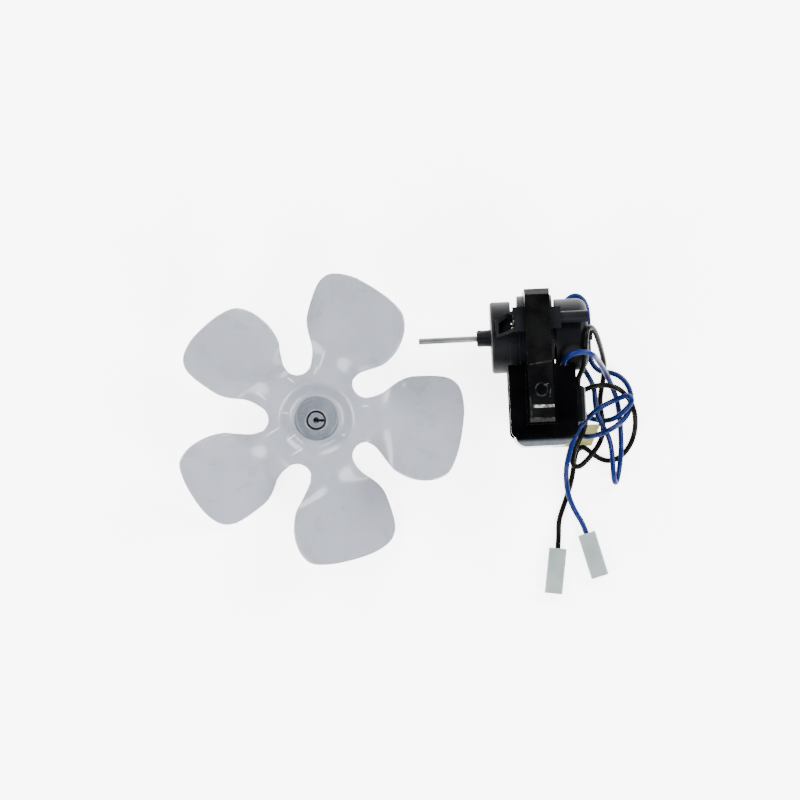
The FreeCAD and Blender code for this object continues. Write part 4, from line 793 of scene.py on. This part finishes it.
def rounded(profile, radius, steps=5):
    """An open profile with each corner replaced by a short curve: the parabola that touches both its
    sides at an equal distance from it."""
    profile = np.asarray(profile, float)
    out = [profile[:1]]
    t = np.linspace(0, 1, steps)[:, None]
    for before, corner, after in zip(profile[:-2], profile[1:-1], profile[2:]):
        back_way = before - corner
        on_way = after - corner
        lengths = np.hypot(*back_way), np.hypot(*on_way)
        reach = min(radius, 0.45 * lengths[0], 0.45 * lengths[1])
        start = corner + back_way / lengths[0] * reach
        end = corner + on_way / lengths[1] * reach
        out.append((1 - t) ** 2 * start + 2 * t * (1 - t) * corner + t**2 * end)
    out.append(profile[-1:])
    return np.vstack(out)


points, faces, marks = blade_sectors()
blades = built("fan_spider_and_blades", points, faces, fan_plastic, False, marks)
wall = blades.modifiers.new("wall", "SOLIDIFY")
wall.thickness = WALL * MM
wall.offset = -1.0
wall.use_even_offset = False

# The hub from the barrel's end, up its outside and under the dish, over the step to the cone, and down into
# the moat
hub_profile = rounded(
    [
        (BORE + 0.1, BARREL_END + HAIR / 2),
        (5.7, BARREL_END + HAIR / 2),
        (6.5, -18.2),
        (7.7, -1.5),
        (9.6, 0.5),
        (12.2, 1.2),
        (12.1, 2.4),
        (STEP_EDGE, 2.3),
        (10.3, 2.0),
        (5.9, HUB_RISE - HAIR),
        (5.1, HUB_RISE - HAIR),
        (MOAT_RADIUS, MOAT_FLOOR + 1),
    ],
    0.9,
)
built("fan_hub", *revolved(hub_profile, HUB_COLUMNS), hub_plastic_painted_shade)

# The moat's wall and floor, and the bore down to the barrel's end
bore_profile = rounded(
    [
        (MOAT_RADIUS, MOAT_FLOOR + 1),
        (MOAT_RADIUS, MOAT_FLOOR),
        (BORE, MOAT_FLOOR),
        (BORE, BARREL_END + HAIR / 2),
        (BORE + 0.1, BARREL_END + HAIR / 2),
    ],
    0.3,
)
built("fan_bore_wall", *revolved(bore_profile, BORE_COLUMNS), bore_plastic_painted_shade, False)

# The collet, and a face on each side of its slot
collet_profile = rounded(
    [
        (BORE, MOAT_FLOOR - 0.2),
        (BORE, HUB_RISE - 0.1),
        (COLLET_RADIUS, HUB_RISE - 0.1),
        (COLLET_RADIUS, MOAT_FLOOR - 0.2),
    ],
    0.3,
)
points, faces = revolved(collet_profile, COLLET_COLUMNS, SLOT)
first = np.arange(len(collet_profile)) * COLLET_COLUMNS
slot_walls = np.stack([first, first + COLLET_COLUMNS - 1])
built("fan_split_collet", points, [*faces, *slot_walls], hub_plastic_painted_shade)


BREAKUP_GRAIN = 2.5 * MM


def tint(material, factor, colour):
    """Lays one more colour over a material's own, as far as a factor says."""
    tree = material.node_tree
    base = tree.nodes["Principled BSDF"].inputs["Base Color"]
    over = add_node(
        tree,
        "ShaderNodeMix",
        {7: linear(colour)},
        {"Factor": factor, 6: base.links[0].from_socket},
        data_type="RGBA",
    )
    tree.links.new(over.outputs[2], base)


def inside(material, centre, half, turn=0.0, ring=0.0, least=0.15):
    """Where a mark lies, from 0 to 1, by Object coordinates: in a box of half sizes about its centre in
    millimetres, turned in degrees, or with a ring's share, in a ring of that width round the centre. Noise
    of about 2.5 millimetres breaks it up in places, down to its least share."""
    tree = material.node_tree
    place = add_node(tree, "ShaderNodeTexCoord").outputs["Object"]
    local = add_node(
        tree,
        "ShaderNodeMapping",
        {
            "Location": tuple(c * MM for c in centre),
            "Rotation": (0.0, 0.0, math.radians(turn)),
            "Scale": tuple(h * MM for h in half),
        },
        {"Vector": place},
        vector_type="TEXTURE",
    ).outputs["Vector"]
    noise = add_node(
        tree, "ShaderNodeTexNoise", {"Scale": 1 / BREAKUP_GRAIN, "Detail": 2.0}, {"Vector": place}
    ).outputs["Fac"]
    broken_up = add_node(
        tree,
        "ShaderNodeMapRange",
        {"From Min": 0.4, "From Max": 0.55, "To Min": least, "To Max": 1.0},
        {"Value": noise},
    ).outputs["Result"]
    if ring:
        away = add_node(tree, "ShaderNodeVectorMath", {}, {0: local}, operation="LENGTH").outputs["Value"]
        shape = add_node(tree, "ShaderNodeMath", {1: 1.0, 2: ring}, {0: away}, operation="COMPARE").outputs[0]
    else:
        size = add_node(tree, "ShaderNodeVectorMath", {}, {0: local}, operation="ABSOLUTE").outputs["Vector"]
        parts = add_node(tree, "ShaderNodeSeparateXYZ", {}, {0: size}).outputs
        most = parts[0]
        for part in (parts[1], parts[2]):
            most = add_node(tree, "ShaderNodeMath", {}, {0: most, 1: part}, operation="MAXIMUM").outputs[0]
        shape = add_node(
            tree,
            "ShaderNodeMapRange",
            {"From Min": 1.0, "From Max": 0.75, "To Min": 0.0, "To Max": 1.0},
            {"Value": most},
        ).outputs["Result"]
    return add_node(tree, "ShaderNodeMath", {}, {0: shape, 1: broken_up}, operation="MULTIPLY").outputs[0]


# Marks painted on the leg that faces up: a light grey bar for bare steel, painted light as its highlight, the
# stake's ring and a short dash painted lighter as glints, and thin lines painted lighter grey as edges that
# catch the light
for centre, half, turn, ring, colour in (
    ((-24.6, -45.2, LEG_TOP), (6.3, 0.8, 0.5), -1.0, 0.0, "8C908E"),
    ((-25.9, -23.0, LEG_TOP), (6.6, 0.28, 0.5), 7.3, 0.0, "262928"),
    ((-25.8, -36.6, LEG_TOP), (3.1, 3.3, 9.0), 0.0, 0.1, "202322"),
    ((-23.4, -34.2, LEG_TOP), (1.5, 0.25, 0.5), 20.0, 0.0, "303332"),
    ((-25.8, -51.2, LEG_TOP), (6.9, 0.35, 0.5), -1.8, 0.0, "2A2D2C"),
    ((-18.9, -52.8, LEG_TOP), (0.3, 1.8, 0.5), 0.0, 0.0, "1E2122"),
    ((-31.6, -45.3, LEG_TOP), (0.3, 5.8, 0.5), 2.0, 0.0, "1E2122"),
    ((-21.5, -38.5, LEG_TOP), (0.3, 2.4, 0.5), -8.0, 0.0, "262A2B"),
):
    # Each mark is a painted highlight laid over the varnish's own colour
    tint(varnished_steel, inside(varnished_steel, centre, half, turn, ring), colour)

# Painted highlight: the tape's lowest turn, where it comes out from behind the flange, is painted grey as the
# light it catches there
tint(coil_tape, inside(coil_tape, (-20.0, -68.0, 0.0), (60.0, 6.6, 60.0), least=0.9), "50555B")

# Painted highlight: the witness lines of the fan are painted near-white as the glint along their ridges
glint_share = add_node(fan_plastic.node_tree, "ShaderNodeAttribute", attribute_name="crease_and_glint").outputs["Fac"]
tint(fan_plastic, glint_share, "BEC2C6")

# Table: a matt white board far larger than the picture, which gives light of its own like a lit table
HALF_TABLE = 1.6
board = bpy.data.meshes.new("white_board")
board.from_pydata(
    [(x * HALF_TABLE, y * HALF_TABLE, TABLE) for x, y in ((-1, -1), (1, -1), (1, 1), (-1, 1))],
    [],
    [(0, 1, 2, 3)],
)
floor = bpy.data.objects.new("white_board", board)
bpy.context.scene.collection.objects.link(floor)
board.materials.append(
    finish(
        "matt_white_board",
        "F6F6F6",
        "FAFAFA",
        (0.9, 0.95),
        5.0,
        0.0,
        {"Specular IOR Level": 0.1, "Emission Color": (1.0, 1.0, 1.0, 1.0), "Emission Strength": 4.5},
    )
)

# Light: a dim white room and four broad soft boxes, so low round the table that no upward face mirrors them
ROOM_STRENGTH = 0.03
BOX_ELEVATION = math.radians(38)
BOX_DISTANCE = 1.5
BOX_WIDTH = 0.9
world = bpy.data.worlds.new("white_room")
world.use_nodes = True
background = world.node_tree.nodes["Background"]
background.inputs["Color"].default_value = (1.0, 1.0, 1.0, 1.0)
background.inputs["Strength"].default_value = ROOM_STRENGTH
bpy.context.scene.world = world


def soft_box(name, azimuth, power):
    """A round light that faces the object from a direction in degrees, counted from X towards Y."""
    light = bpy.data.lights.new(name, "AREA")
    light.shape = "DISK"
    light.size = BOX_WIDTH
    light.energy = power
    box = bpy.data.objects.new(name, light)
    bpy.context.scene.collection.objects.link(box)
    turn = math.radians(azimuth)
    level_part = math.cos(BOX_ELEVATION)
    way = Vector((math.cos(turn) * level_part, math.sin(turn) * level_part, math.sin(BOX_ELEVATION)))
    box.location = AIM + way * BOX_DISTANCE
    box.rotation_euler = way.to_track_quat("Z", "Y").to_euler()


soft_box("side_box_1", 35, 46)
soft_box("side_box_2", 125, 38)
soft_box("side_box_3", 215, 38)
soft_box("side_box_4", 305, 42)
